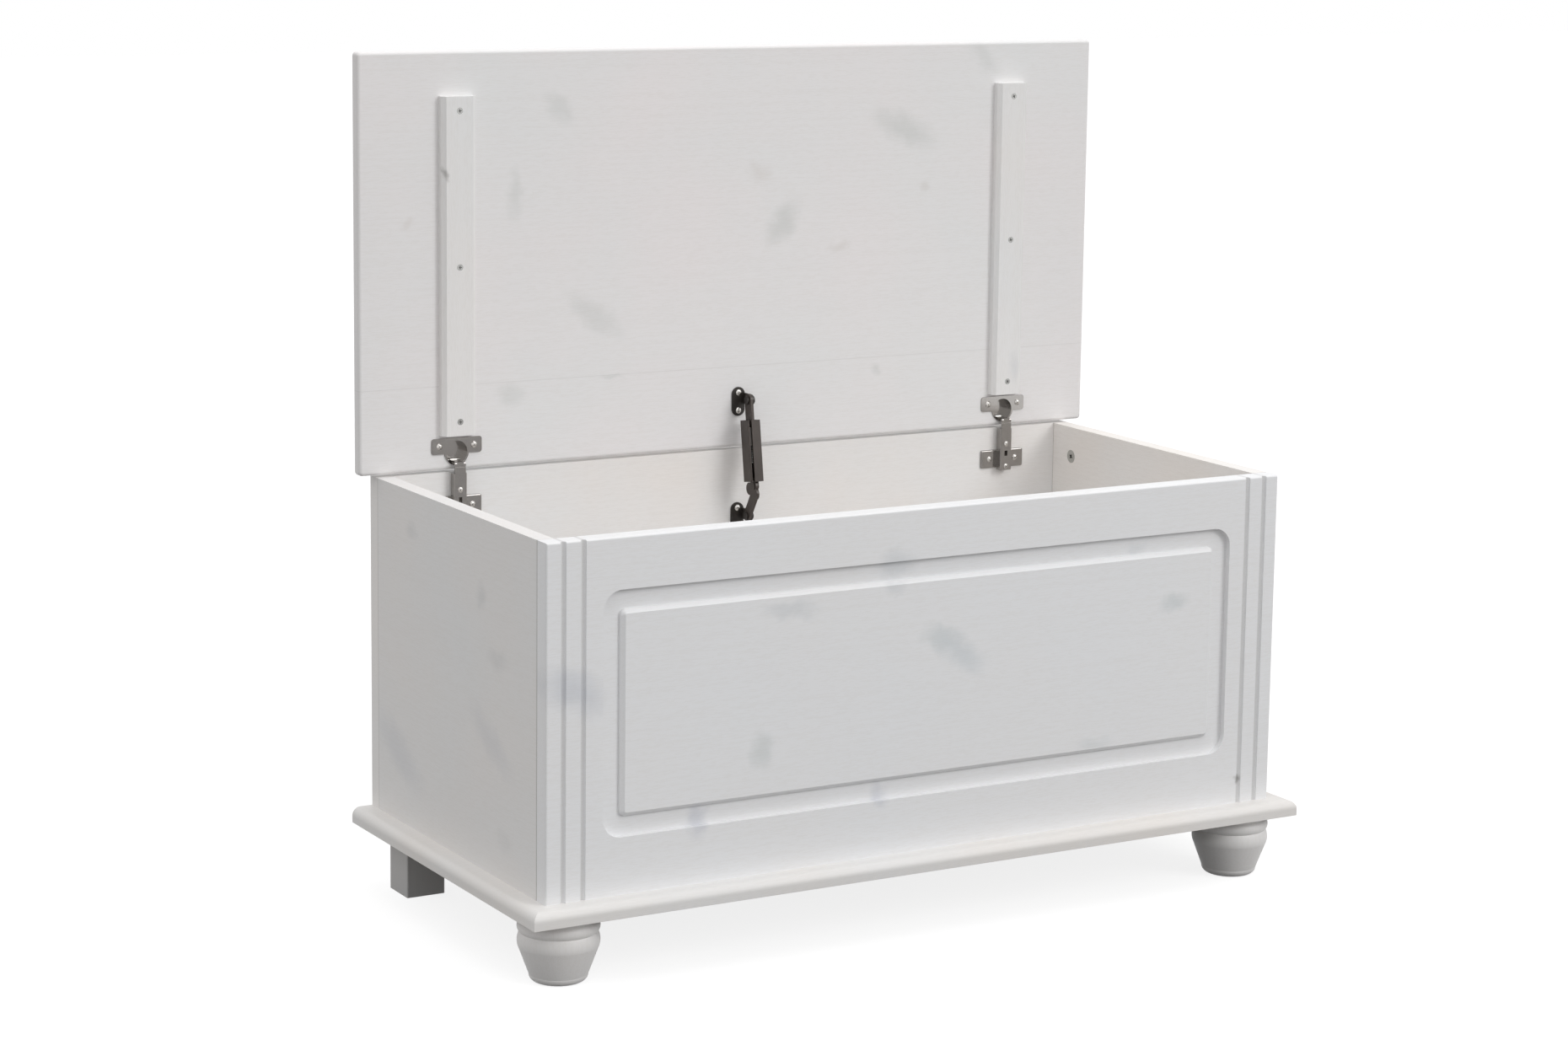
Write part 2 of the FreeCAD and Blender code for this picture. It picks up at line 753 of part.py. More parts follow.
# Lid board, standing open with its rear edge just above the rim
lid_holes = []
body = add("PartDesign::Body", "lid_planed")
sketch = new_sketch(body, "XZ_Plane", "lid_outline")
draw_outline(sketch, rounded_rectangle(-lid_width / 2, nothing, lid_width / 2, lid_depth, lid_corner_round))
planed = pad(body, sketch, "lid_thickness", lid_board, backwards=True)


def is_lid_arris(edge):
    first, last = ends_of(edge)
    return near(first.y, last.y)


dress_edges(body, planed, "PartDesign::Fillet", "lid_arris", is_lid_arris, lid_edge_round)
aim(body, (nothing, lid_y, lid_z))
lid_planed = body

# Battens across the lid's inner face, each with three flush screws
batten_rear_margin = wing_rear_margin + wing_height + batten_hinge_gap
batten_length = lid_depth - batten_rear_margin - batten_front_margin
batten_z = lid_z + batten_rear_margin
batten_face_y = lid_y - batten_thickness
batten_screws = []
screw_heights = (
    batten_z + batten_screw_inset,
    batten_z + batten_length / 2,
    batten_z + batten_length - batten_screw_inset,
)
for side, sign in left_right:
    name = side + "_lid_batten"
    body = add("PartDesign::Body", name + "_planed")
    sketch = new_sketch(body, "XZ_Plane", name + "_outline")
    draw_outline(sketch, rectangle(-batten_width / 2, nothing, batten_width / 2, batten_length))
    planed = pad(body, sketch, name + "_thickness", batten_thickness, backwards=True)
    dress_edges(body, planed, "PartDesign::Chamfer", name + "_chamfer",
                lambda edge: runs_along(edge, "z") and near(ends_of(edge)[0].y, 0), batten_chamfer)
    aim(body, (fitting_x * sign, batten_face_y, batten_z))
    holes = []
    for index, height in enumerate(screw_heights):
        label = "%s_screw_%d" % (name, index)
        start = (fitting_x * sign, batten_face_y, height)
        shape = (small_head_radius, small_head_height, small_shank_radius, batten_screw_length)
        batten_screws.append(flush_screw(label, start, along_y, *shape))
        holes.append(flush_hole(label + "_hole", start, along_y, *shape))
        lid_start = (fitting_x * sign, lid_y, height)
        in_lid = batten_screw_length - batten_thickness
        lid_holes.append(bore(label + "_pilot", lid_start, along_y, small_shank_radius, in_lid))
    node(cut(name, body, holes), name)
node(group("batten_screws", batten_screws), "batten_screws")

# Cup hinges: the cup in the lid, one pin through it, and an arm on a plate screwed to the back panel
cup_screws = []
plate_screws = []
arm_screws = []
hinge_pins = []
back_holes = face_holes["back"]
cup_mouth_y = lid_y - wing_thickness
wing_z = lid_z + wing_rear_margin
arm_top_z = rim_z - arm_top_drop
arm_bottom_z = rim_z - arm_bottom_drop
arm_face_y = back_inner_y - arm_reach
arm_web_y = arm_face_y + arm_wall
plate_middle_z = rim_z - plate_drop


def is_bend_fold(edge, top_z):
    return all(near(spot.y, arm_face_y) and near(spot.z, top_z) for spot in ends_of(edge))


for side, sign in left_right:
    centre_x = fitting_x * sign
    left_end = centre_x - hinge_pin_length / 2
    pin_place = (left_end, axis_y, axis_z)
    name = side + "_hinge_cup"
    wings = box(name + "_wings", (centre_x - wing_width / 2, cup_mouth_y, wing_z),
                (wing_width, wing_thickness, wing_height))
    wings = soften(name + "_wing_corners", wings, wing_corner_round, lambda edge: runs_along(edge, "y"))
    rim = rod(name + "_rim", (centre_x, cup_mouth_y, cup_z), along_y, cup_radius + cup_rim_width,
              wing_thickness)
    pot = rod(name + "_pot", (centre_x, lid_y, cup_z), along_y, cup_radius, cup_depth)
    hollow = rod(name + "_hollow", (centre_x, cup_mouth_y, cup_z), along_y, cup_bore_radius,
                 cup_depth + wing_thickness - cup_wall)
    pin_hole = rod(name + "_pin_hole", pin_place, along_x, hinge_pin_radius + pin_running_fit, hinge_pin_length)
    screw_tools = []
    for step in (-1, 1):
        label = "%s_screw_%d" % (name, step)
        spot_x = centre_x + wing_screw_spacing * step / 2
        start = (spot_x, cup_mouth_y, wing_z + wing_height / 2)
        cup_screws.append(raised_screw(label, start, along_y, small_head_radius, small_head_height,
                                       small_shank_radius, small_screw_length))
        screw_tools.append(bore(label + "_hole", start, along_y, small_shank_radius, wing_thickness))
        lid_start = (spot_x, lid_y, wing_z + wing_height / 2)
        lid_holes.append(bore(label + "_pilot", lid_start, along_y, small_shank_radius,
                              small_screw_length - wing_thickness))
    shell = fuse(name + "_shell", [wings, rim, pot])
    opened = cut(name + "_opened", shell, [hollow] + screw_tools)
    node(cut(name, opened, [pin_hole]), name)
    lid_holes.append(rod(name + "_seat", (centre_x, lid_y, cup_z), along_y, cup_radius + fastener_fit,
                         cup_depth + fastener_fit))
    hinge_pins.append(rod(side + "_hinge_pin", pin_place, along_x, hinge_pin_radius, hinge_pin_length))

    name = side + "_hinge_arm"
    neck_x = centre_x - neck_width / 2
    knuckle = rod(name + "_knuckle", (neck_x, axis_y, axis_z), along_x, knuckle_radius, neck_width)
    neck_low_z = axis_z - knuckle_radius
    neck = box(name + "_neck", (neck_x, arm_face_y, neck_low_z),
               (neck_width, axis_y - arm_face_y, neck_thickness))
    bend = box(name + "_bend", (centre_x - bend_width / 2, arm_face_y, arm_top_z - arm_wall),
               (bend_width, neck_thickness, neck_low_z + neck_thickness - arm_top_z + arm_wall))
    bend = soften(name + "_bend_round", bend, bend_round,
                  lambda edge: is_bend_fold(edge, neck_low_z + neck_thickness))
    channel = box(name + "_channel", (centre_x - arm_width / 2, arm_face_y, arm_bottom_z),
                  (arm_width, arm_reach - plate_thickness, arm_top_z - arm_bottom_z))
    channel = soften(name + "_folds", channel, arm_fold_round,
                     lambda edge: runs_along(edge, "z") and near(ends_of(edge)[0].y, arm_face_y))
    inside = box(name + "_inside", (centre_x - arm_width / 2 + arm_wall, arm_web_y, arm_bottom_z),
                 (arm_width - 2 * arm_wall, arm_reach, arm_top_z - arm_bottom_z))
    slot_z = rim_z - arm_slot_drop
    slot = box(name + "_slot", (centre_x - arm_screw_radius, arm_face_y, slot_z - arm_slot_length / 2),
               (2 * arm_screw_radius, arm_wall, arm_slot_length))
    lip = box(name + "_lip", (centre_x - bend_width / 2, arm_face_y, rim_z + lip_rise),
              (bend_width, lip_gap, lip_gap))
    pressed = cut(name + "_pressed", channel, [inside])
    whole = fuse(name + "_whole", [knuckle, neck, bend, pressed])
    arm_holes = [slot, lip]
    arm_holes.append(rod(name + "_pin_hole", (neck_x, axis_y, axis_z), along_x,
                         hinge_pin_radius + pin_running_fit, neck_width))
    plate_holes = []
    for level, drop in (("upper", arm_screw_drop_upper), ("lower", arm_screw_drop_lower)):
        label = "%s_screw_%s" % (name, level)
        start = (centre_x, arm_face_y, rim_z - drop)
        screw_reach = arm_reach - plate_thickness
        arm_screws.append(raised_screw(label, start, along_y, arm_screw_head_radius, arm_screw_head_height,
                                       arm_screw_radius, screw_reach))
        arm_holes.append(bore(label + "_hole", start, along_y, arm_screw_radius, arm_wall))
        plate_holes.append(bore(label + "_thread", (centre_x, arm_web_y, rim_z - drop), along_y,
                                arm_screw_radius, screw_reach - arm_wall))
    plate_holes.append(box(name + "_slot_well", (centre_x - arm_screw_radius, arm_web_y,
                                                 slot_z - arm_slot_length / 2),
                           (2 * arm_screw_radius, arm_reach - plate_thickness - arm_wall, arm_slot_length)))
    node(cut(name, whole, arm_holes), name)

    name = side + "_hinge_plate"
    core_width = arm_width - 2 * arm_wall - 2 * plate_core_play
    core = box(name + "_core", (centre_x - core_width / 2, arm_web_y, arm_bottom_z),
               (core_width, arm_reach - arm_wall, arm_top_z - arm_bottom_z - plate_core_headroom))
    wings = box(name + "_wings", (centre_x - plate_width / 2, back_inner_y - plate_thickness,
                                  plate_middle_z - plate_wing_height / 2),
                (plate_width, plate_thickness, plate_wing_height))
    wings = soften(name + "_corners", wings, plate_corner_round, lambda edge: runs_along(edge, "y"))
    wings = soften_face(name + "_face_round", wings, plate_face_round, back_inner_y - plate_thickness)
    for step in (-1, 1):
        label = "%s_screw_%d" % (name, step)
        spot_x = centre_x + plate_screw_spacing * step / 2
        start = (spot_x, back_inner_y - plate_thickness, plate_middle_z)
        plate_screws.append(raised_screw(label, start, along_y, small_head_radius, small_head_height,
                                         small_shank_radius, small_screw_length))
        plate_holes.append(bore(label + "_hole", start, along_y, small_shank_radius, plate_thickness))
        back_holes.append(bore(label + "_pilot", (spot_x, back_inner_y, plate_middle_z), along_y,
                               small_shank_radius, small_screw_length - plate_thickness))
    node(cut(name, fuse(name + "_pressed", [core, wings]), plate_holes), name)
node(group("hinge_pins", hinge_pins), "hinge_pins")
node(group("hinge_cup_screws", cup_screws), "hinge_cup_screws")
node(group("hinge_plate_screws", plate_screws), "hinge_plate_screws")
node(group("hinge_arm_screws", arm_screws), "hinge_arm_screws")

# Lid stay: pivots on the lid and on the back panel, and the knee between them
lid_pivot = (lid_y - pivot_stand_off, lid_z + lid_pivot_height)
case_pivot = (back_inner_y - pivot_stand_off, rim_z - case_pivot_drop)
knee = (case_pivot[0] - lower_arm_length * sine(lower_arm_lean),
        case_pivot[1] + lower_arm_length * cosine(lower_arm_lean))
reach_across = lid_pivot[0] - knee[0]
reach_up = lid_pivot[1] - knee[1]
stay_reach = length_of(reach_across, reach_up)
stay_lean = lean_of(reach_across, reach_up)
arm_left_x = stay_x - stay_sheet / 2
ear_left_x = stay_x + stay_sheet / 2 + stay_gap
ear_right_x = ear_left_x + bracket_sheet
plate_left_x = ear_right_x - bracket_plate_width
plate_centre_x = ear_right_x - bracket_plate_width / 2

# Brackets: an upright plate with rounded ends, and an ear that carries the pivot rivet
stay_brackets = (
    ("lid", lid_pivot, lid_y, lid_pivot[1] - bracket_pivot_rise, lid_holes),
    ("case", case_pivot, back_inner_y, case_pivot[1] - bracket_pivot_rise, back_holes),
)
for name, pivot, face_y, plate_z, holes in stay_brackets:
    face = face_y - bracket_sheet
    half_straight = (bracket_plate_height - bracket_plate_width) / 2
    bracket_pieces = [box("stay_%s_plate" % name, (plate_left_x, face, plate_z - half_straight),
                          (bracket_plate_width, bracket_sheet, 2 * half_straight))]
    for step in (-1, 1):
        bracket_pieces.append(rod("stay_%s_plate_end_%d" % (name, step),
                                  (plate_centre_x, face, plate_z + half_straight * step), along_y,
                                  bracket_plate_width / 2, bracket_sheet))
    bracket_pieces.append(box("stay_%s_web" % name, (ear_left_x, pivot[0], pivot[1] - bracket_ear_radius),
                              (bracket_sheet, face_y - pivot[0], 2 * bracket_ear_radius)))
    bracket_pieces.append(rod("stay_%s_ear" % name, (ear_left_x,) + pivot, along_x, bracket_ear_radius,
                              bracket_sheet))
    tools = [rod("stay_%s_ear_hole" % name, (ear_left_x,) + pivot, along_x, rivet_radius + pin_running_fit,
                 bracket_sheet)]
    screws = []
    for step in (-1, 1):
        label = "stay_%s_screw_%d" % (name, step)
        start = (plate_centre_x, face, plate_z + bracket_screw_spacing * step / 2)
        screws.append(raised_screw(label, start, along_y, small_head_radius, small_head_height,
                                   small_shank_radius, small_screw_length))
        tools.append(bore(label + "_hole", start, along_y, small_shank_radius, bracket_sheet))
        holes.append(bore(label + "_pilot", moved(start, along_y, bracket_sheet), along_y, small_shank_radius,
                          small_screw_length - bracket_sheet))
    bracket = fuse("stay_%s_bracket_bent" % name, bracket_pieces)
    node(cut("stay_%s_bracket" % name, bracket, tools), "stay_%s_bracket" % name)
    node(group("stay_%s_screws" % name, screws), "stay_%s_screws" % name)
    head_left_x = arm_left_x - stay_gap - rivet_head_height
    node(fuse("stay_%s_rivet" % name, [
        rod("stay_%s_rivet_head" % name, (head_left_x,) + pivot, along_x, rivet_head_radius, rivet_head_height),
        rod("stay_%s_rivet_body" % name, (head_left_x,) + pivot, along_x, rivet_radius,
            ear_right_x - head_left_x),
        rod("stay_%s_rivet_tail" % name, (ear_right_x,) + pivot, along_x, rivet_head_radius, rivet_head_height),
    ]), "stay_%s_rivet" % name)

# What runs in the sleeve takes its size from the sleeve
sleeve_inner_width = sleeve_width - 2 * sleeve_wall
sleeve_inner_depth = sleeve_depth - 2 * sleeve_wall
knee_radius = sleeve_inner_depth / 2 - sleeve_play
upper_arm_depth = sleeve_inner_depth - 2 * sleeve_play

# Lower arm: a flat bar from the case pivot to a round elbow in front of the knee, with a cam behind the knee
lobe_angle = lower_arm_lean + cam_lobe_fall
elbow_rise = lower_arm_length - elbow_drop
elbow_lean = lean_of(elbow_forward, elbow_rise)
half_bar = lower_arm_width / 2
bar_corner = (-stay_sheet / 2, -half_bar * cosine(elbow_lean), -half_bar * sine(elbow_lean))
lower_bar = box("stay_lower_arm_bar", bar_corner,
                (stay_sheet, lower_arm_width, length_of(elbow_forward, elbow_rise)))
lean_back(lower_bar, bar_corner, elbow_lean, turned_about=(1, 0, 0))
lower_arm = fuse("stay_lower_arm_blank", [
    lower_bar,
    rod("stay_lower_arm_foot", (-stay_sheet / 2, nothing, nothing), along_x, half_bar, stay_sheet),
    rod("stay_lower_arm_knee", (-stay_sheet / 2, nothing, lower_arm_length), along_x, knee_radius, stay_sheet),
    rod("stay_lower_arm_elbow", (-stay_sheet / 2, -elbow_forward, elbow_rise), along_x, elbow_radius,
        stay_sheet),
    rod("stay_lower_arm_cam", (-stay_sheet / 2, cam_lobe_reach * cosine(lobe_angle),
                               lower_arm_length - cam_lobe_reach * sine(lobe_angle)),
        along_x, cam_lobe_radius, stay_sheet),
])
lower_arm = cut("stay_lower_arm", lower_arm, [
    rod("stay_lower_arm_foot_hole", (-stay_sheet / 2, nothing, nothing), along_x,
        rivet_radius + pin_running_fit, stay_sheet),
    rod("stay_lower_arm_knee_hole", (-stay_sheet / 2, nothing, lower_arm_length), along_x,
        rivet_radius + pin_running_fit, stay_sheet),
])
lean_back(lower_arm, (stay_x,) + case_pivot, lower_arm_lean, turned_about=(1, 0, 0))
node(lower_arm, "stay_lower_arm")

# Sleeve: folded sheet with a slot down the front, and a tongue turned in and down to the knee from its right
# wall. Built upright with the knee at 0,0,0
knee_place = (stay_x,) + knee
sleeve_top = stay_reach - sleeve_top_below_eye
sleeve_length = sleeve_top - sleeve_bottom
window_top = cam_lobe_reach + cam_lobe_radius + window_clearance
sleeve_body = add("PartDesign::Body", "stay_sleeve_tube")
sketch = new_sketch(sleeve_body, "XY_Plane", "stay_sleeve_section")
draw_outline(sketch, rectangle(-sleeve_width / 2, -sleeve_depth / 2, sleeve_width / 2, sleeve_depth / 2))
tube = pad(sleeve_body, sketch, "stay_sleeve_length", sleeve_length)
dress_edges(sleeve_body, tube, "PartDesign::Fillet", "stay_sleeve_folds",
            lambda edge: runs_along(edge, "z"), sleeve_edge_round)
aim(sleeve_body, (nothing, nothing, sleeve_bottom))
sleeve_room = box("stay_sleeve_room", (-sleeve_inner_width / 2, -sleeve_inner_depth / 2, sleeve_bottom),
                  (sleeve_inner_width, sleeve_inner_depth, sleeve_length))
sleeve_front = box("stay_sleeve_front_slot", (-sleeve_inner_width / 2, -sleeve_depth / 2, sleeve_bottom),
                   (sleeve_slot, sleeve_depth / 2, sleeve_length))
window_width = stay_sheet + 2 * window_side_play
sleeve_window = box("stay_sleeve_cam_window", (-window_width / 2, nothing, sleeve_bottom),
                    (window_width, sleeve_depth, window_top - sleeve_bottom))
seat_height = window_top + spring_seat_radius * 2
opened = cut("stay_sleeve_opened", sleeve_body, [
    fuse("stay_sleeve_openings", [sleeve_room, sleeve_front, sleeve_window]),
    rod("stay_sleeve_seat_hole_left", (-sleeve_width / 2, nothing, seat_height), along_x,
        spring_seat_radius + pin_running_fit, sleeve_wall),
    rod("stay_sleeve_seat_hole_right", (sleeve_inner_width / 2, nothing, seat_height), along_x,
        spring_seat_radius + pin_running_fit, sleeve_wall),
])
tongue_x = stay_sheet / 2 + stay_gap
folded = fuse("stay_sleeve_folded", [
    opened,
    box("stay_sleeve_shelf", (tongue_x, -tongue_radius, sleeve_bottom),
        (sleeve_width / 2 - sleeve_edge_round - tongue_x, 2 * tongue_radius, sleeve_wall)),
    box("stay_sleeve_tongue", (tongue_x, -tongue_radius, nothing),
        (sleeve_wall, 2 * tongue_radius, sleeve_bottom + sleeve_wall)),
    rod("stay_sleeve_tongue_end", (tongue_x, nothing, nothing), along_x, tongue_radius, sleeve_wall),
])
sleeve = cut("stay_sleeve", folded, [
    rod("stay_sleeve_knee_hole", (tongue_x, nothing, nothing), along_x, rivet_radius + pin_running_fit,
        sleeve_wall),
])
lean_back(sleeve, knee_place, stay_lean)
node(sleeve, "stay_sleeve")

# Knee rivet through the lower arm and the tongue, and the seat pin under the spring
knee_rivet = fuse("stay_knee_rivet", [
    rod("stay_knee_rivet_head", (-tongue_x - knee_rivet_head_height, nothing, nothing), along_x,
        rivet_head_radius, knee_rivet_head_height),
    rod("stay_knee_rivet_body", (-tongue_x, nothing, nothing), along_x, rivet_radius,
        2 * tongue_x + sleeve_wall),
    rod("stay_knee_rivet_tail", (tongue_x + sleeve_wall, nothing, nothing), along_x, rivet_head_radius,
        knee_rivet_head_height),
])
lean_back(knee_rivet, knee_place, stay_lean)
node(knee_rivet, "stay_knee_rivet")
seat_pin = rod("stay_spring_seat_bar", (-sleeve_width / 2, nothing, seat_height), along_x, spring_seat_radius,
               sleeve_width)
seat_pin = group("stay_spring_seat", [seat_pin])
lean_back(seat_pin, knee_place, stay_lean)
node(seat_pin, "stay_spring_seat")

# Spring between the seat pin and the upper arm, shown as its outer tube
spring_low = seat_height + spring_seat_radius
spring = group("stay_spring", [
    ring("stay_spring_tube", (nothing, nothing, spring_low), along_z, spring_radius,
         spring_radius - spring_wire, spring_length),
])
lean_back(spring, knee_place, stay_lean)
node(spring, "stay_spring")

# Upper arm with a slotted eye on the lid rivet, and the two guides that run in the sleeve
arm_low = spring_low + spring_length
slot_radius = rivet_radius + eye_slot_side_play
upper_arm = fuse("stay_upper_arm_blank", [
    box("stay_upper_arm_bar", (-stay_sheet / 2, -upper_arm_depth / 2, arm_low),
        (stay_sheet, upper_arm_depth, stay_reach - arm_low)),
    rod("stay_upper_arm_eye", (-stay_sheet / 2, nothing, stay_reach), along_x, upper_arm_depth / 2, stay_sheet),
])
eye_slot = fuse("stay_upper_arm_slot", [
    box("stay_upper_arm_slot_middle", (-stay_sheet / 2, -slot_radius, stay_reach - eye_slot_travel / 2),
        (stay_sheet, 2 * slot_radius, eye_slot_travel)),
    rod("stay_upper_arm_slot_low", (-stay_sheet / 2, nothing, stay_reach - eye_slot_travel / 2), along_x,
        slot_radius, stay_sheet),
    rod("stay_upper_arm_slot_high", (-stay_sheet / 2, nothing, stay_reach + eye_slot_travel / 2), along_x,
        slot_radius, stay_sheet),
])
upper_arm = cut("stay_upper_arm", upper_arm, [eye_slot])
lean_back(upper_arm, knee_place, stay_lean)
node(upper_arm, "stay_upper_arm")
guide_width = (sleeve_inner_width - stay_sheet) / 2 - guide_play
guide_depth = sleeve_inner_depth - 2 * guide_play
guides = group("stay_guides", [
    box("stay_guide_left", (-stay_sheet / 2 - guide_width, -guide_depth / 2, arm_low),
        (guide_width, guide_depth, guide_length)),
    box("stay_guide_right", (stay_sheet / 2, -guide_depth / 2, arm_low),
        (guide_width, guide_depth, guide_length)),
])
lean_back(guides, knee_place, stay_lean)
node(guides, "stay_guides")

# Lid board and back panel, now that every hole in them is known
node(cut("lid_panel", lid_planed, lid_holes), "lid_panel")
back_blank = box("back_panel_board", (-half_width, back_inner_y, wall_z), (body_width, back_board, wall_height))
node(cut("back_panel", back_blank, back_holes), "back_panel")

# Every object has to be sound before anything is written
doc.recompute()
for thing in doc.Objects:
    if "Invalid" in thing.State or "Error" in thing.State:
        raise ValueError("%s failed: %s" % (thing.Label, thing.State))
for thing in parts:
    if thing.Shape.isNull() or not thing.Shape.isValid() or not thing.Shape.Solids:
        raise ValueError(thing.Label + " has no sound shape")
os.makedirs("parts", exist_ok=True)
for thing in parts:
    thing.Shape.exportStep("parts/%s.step" % thing.Label)
    box_of = thing.Shape.BoundBox
    print("%-20s %2d solids, volume %9.0f, x %.1f to %.1f, y %.1f to %.1f, z %.1f to %.1f" % (
        thing.Label, len(thing.Shape.Solids), thing.Shape.Volume,
        box_of.XMin, box_of.XMax, box_of.YMin, box_of.YMax, box_of.ZMin, box_of.ZMax))
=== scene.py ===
# Blanket chest in white-glazed pine with its lid standing open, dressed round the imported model.
# Lengths are in metres, +Z is up and the front of the chest looks towards -Y.
import json
import math

import bpy
from mathutils import Euler, Matrix, Vector


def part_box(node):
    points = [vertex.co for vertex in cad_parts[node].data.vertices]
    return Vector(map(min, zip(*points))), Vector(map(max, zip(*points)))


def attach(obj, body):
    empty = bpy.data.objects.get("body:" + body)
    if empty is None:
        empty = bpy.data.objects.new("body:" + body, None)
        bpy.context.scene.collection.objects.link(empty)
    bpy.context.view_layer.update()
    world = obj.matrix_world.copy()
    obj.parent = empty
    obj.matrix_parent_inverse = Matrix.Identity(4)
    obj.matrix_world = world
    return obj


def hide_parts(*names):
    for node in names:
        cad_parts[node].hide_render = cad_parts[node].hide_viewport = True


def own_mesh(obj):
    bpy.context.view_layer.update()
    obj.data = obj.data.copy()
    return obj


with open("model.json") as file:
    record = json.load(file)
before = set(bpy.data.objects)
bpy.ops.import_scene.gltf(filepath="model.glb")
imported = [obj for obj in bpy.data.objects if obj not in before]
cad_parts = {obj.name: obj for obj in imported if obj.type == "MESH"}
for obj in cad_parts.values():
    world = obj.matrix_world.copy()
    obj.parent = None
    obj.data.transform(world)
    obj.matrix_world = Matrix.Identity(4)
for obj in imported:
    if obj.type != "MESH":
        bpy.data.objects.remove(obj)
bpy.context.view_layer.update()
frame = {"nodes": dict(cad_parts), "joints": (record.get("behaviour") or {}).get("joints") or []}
nodes = frame["nodes"]
scene = bpy.context.scene


# Front feet and rear blocks. The feet are turned from solid pine and the blocks are sawn from it, with the
# grain upright, and all are screwed on from inside. The feet carry the boards' sprayed white glaze, and the
# blocks' greyer tone is painted shade, standing in for the shade under the chest.
def linear(colour):
    channels = [int(colour[spot:spot + 2], 16) / 255 for spot in (1, 3, 5)]
    return [c / 12.92 if c <= 0.04045 else ((c + 0.055) / 1.055) ** 2.4 for c in channels] + [1]


def add_node(tree, kind, inputs=None, **settings):
    added = tree.nodes.new(kind)
    for setting, value in settings.items():
        setattr(added, setting, value)
    for socket, value in (inputs or {}).items():
        if isinstance(value, bpy.types.NodeSocket):
            tree.links.new(value, added.inputs[socket])
        else:
            added.inputs[socket].default_value = value
    return added


def new_finish(name):
    finish = bpy.data.materials.new(name)
    finish.use_nodes = True
    tree = finish.node_tree
    place = add_node(tree, "ShaderNodeTexCoord").outputs["Object"]
    return finish, tree, tree.nodes["Principled BSDF"], place


UPRIGHT = (0, math.pi / 2, 0)
STAVE_WIDTH = 0.11
RING_SPACING = 0.006
RING_SHOW = 0.09
RING_RELIEF = 0.4
# Real fibres are far finer, and are drawn this wide so that they show
FIBRE_WIDTH = 0.0011
FIBRE_STRETCH = 0.025
FIBRE_SHOW = 0.035
GRAIN_DEPTH = 0.0001
CLOUD_WIDTH = 0.2
KNOT_WAVER_WIDTH = 0.01818
KNOT_WAVER = 0.02
# A wave texture of scale 1 repeats after this length
WAVE_TURN = math.pi / 10
PITH_DEPTH = 0.022
PITH_WANDER = 0.03
LOG_OFFSET = 7.0
LOG_STRETCH = 0.09


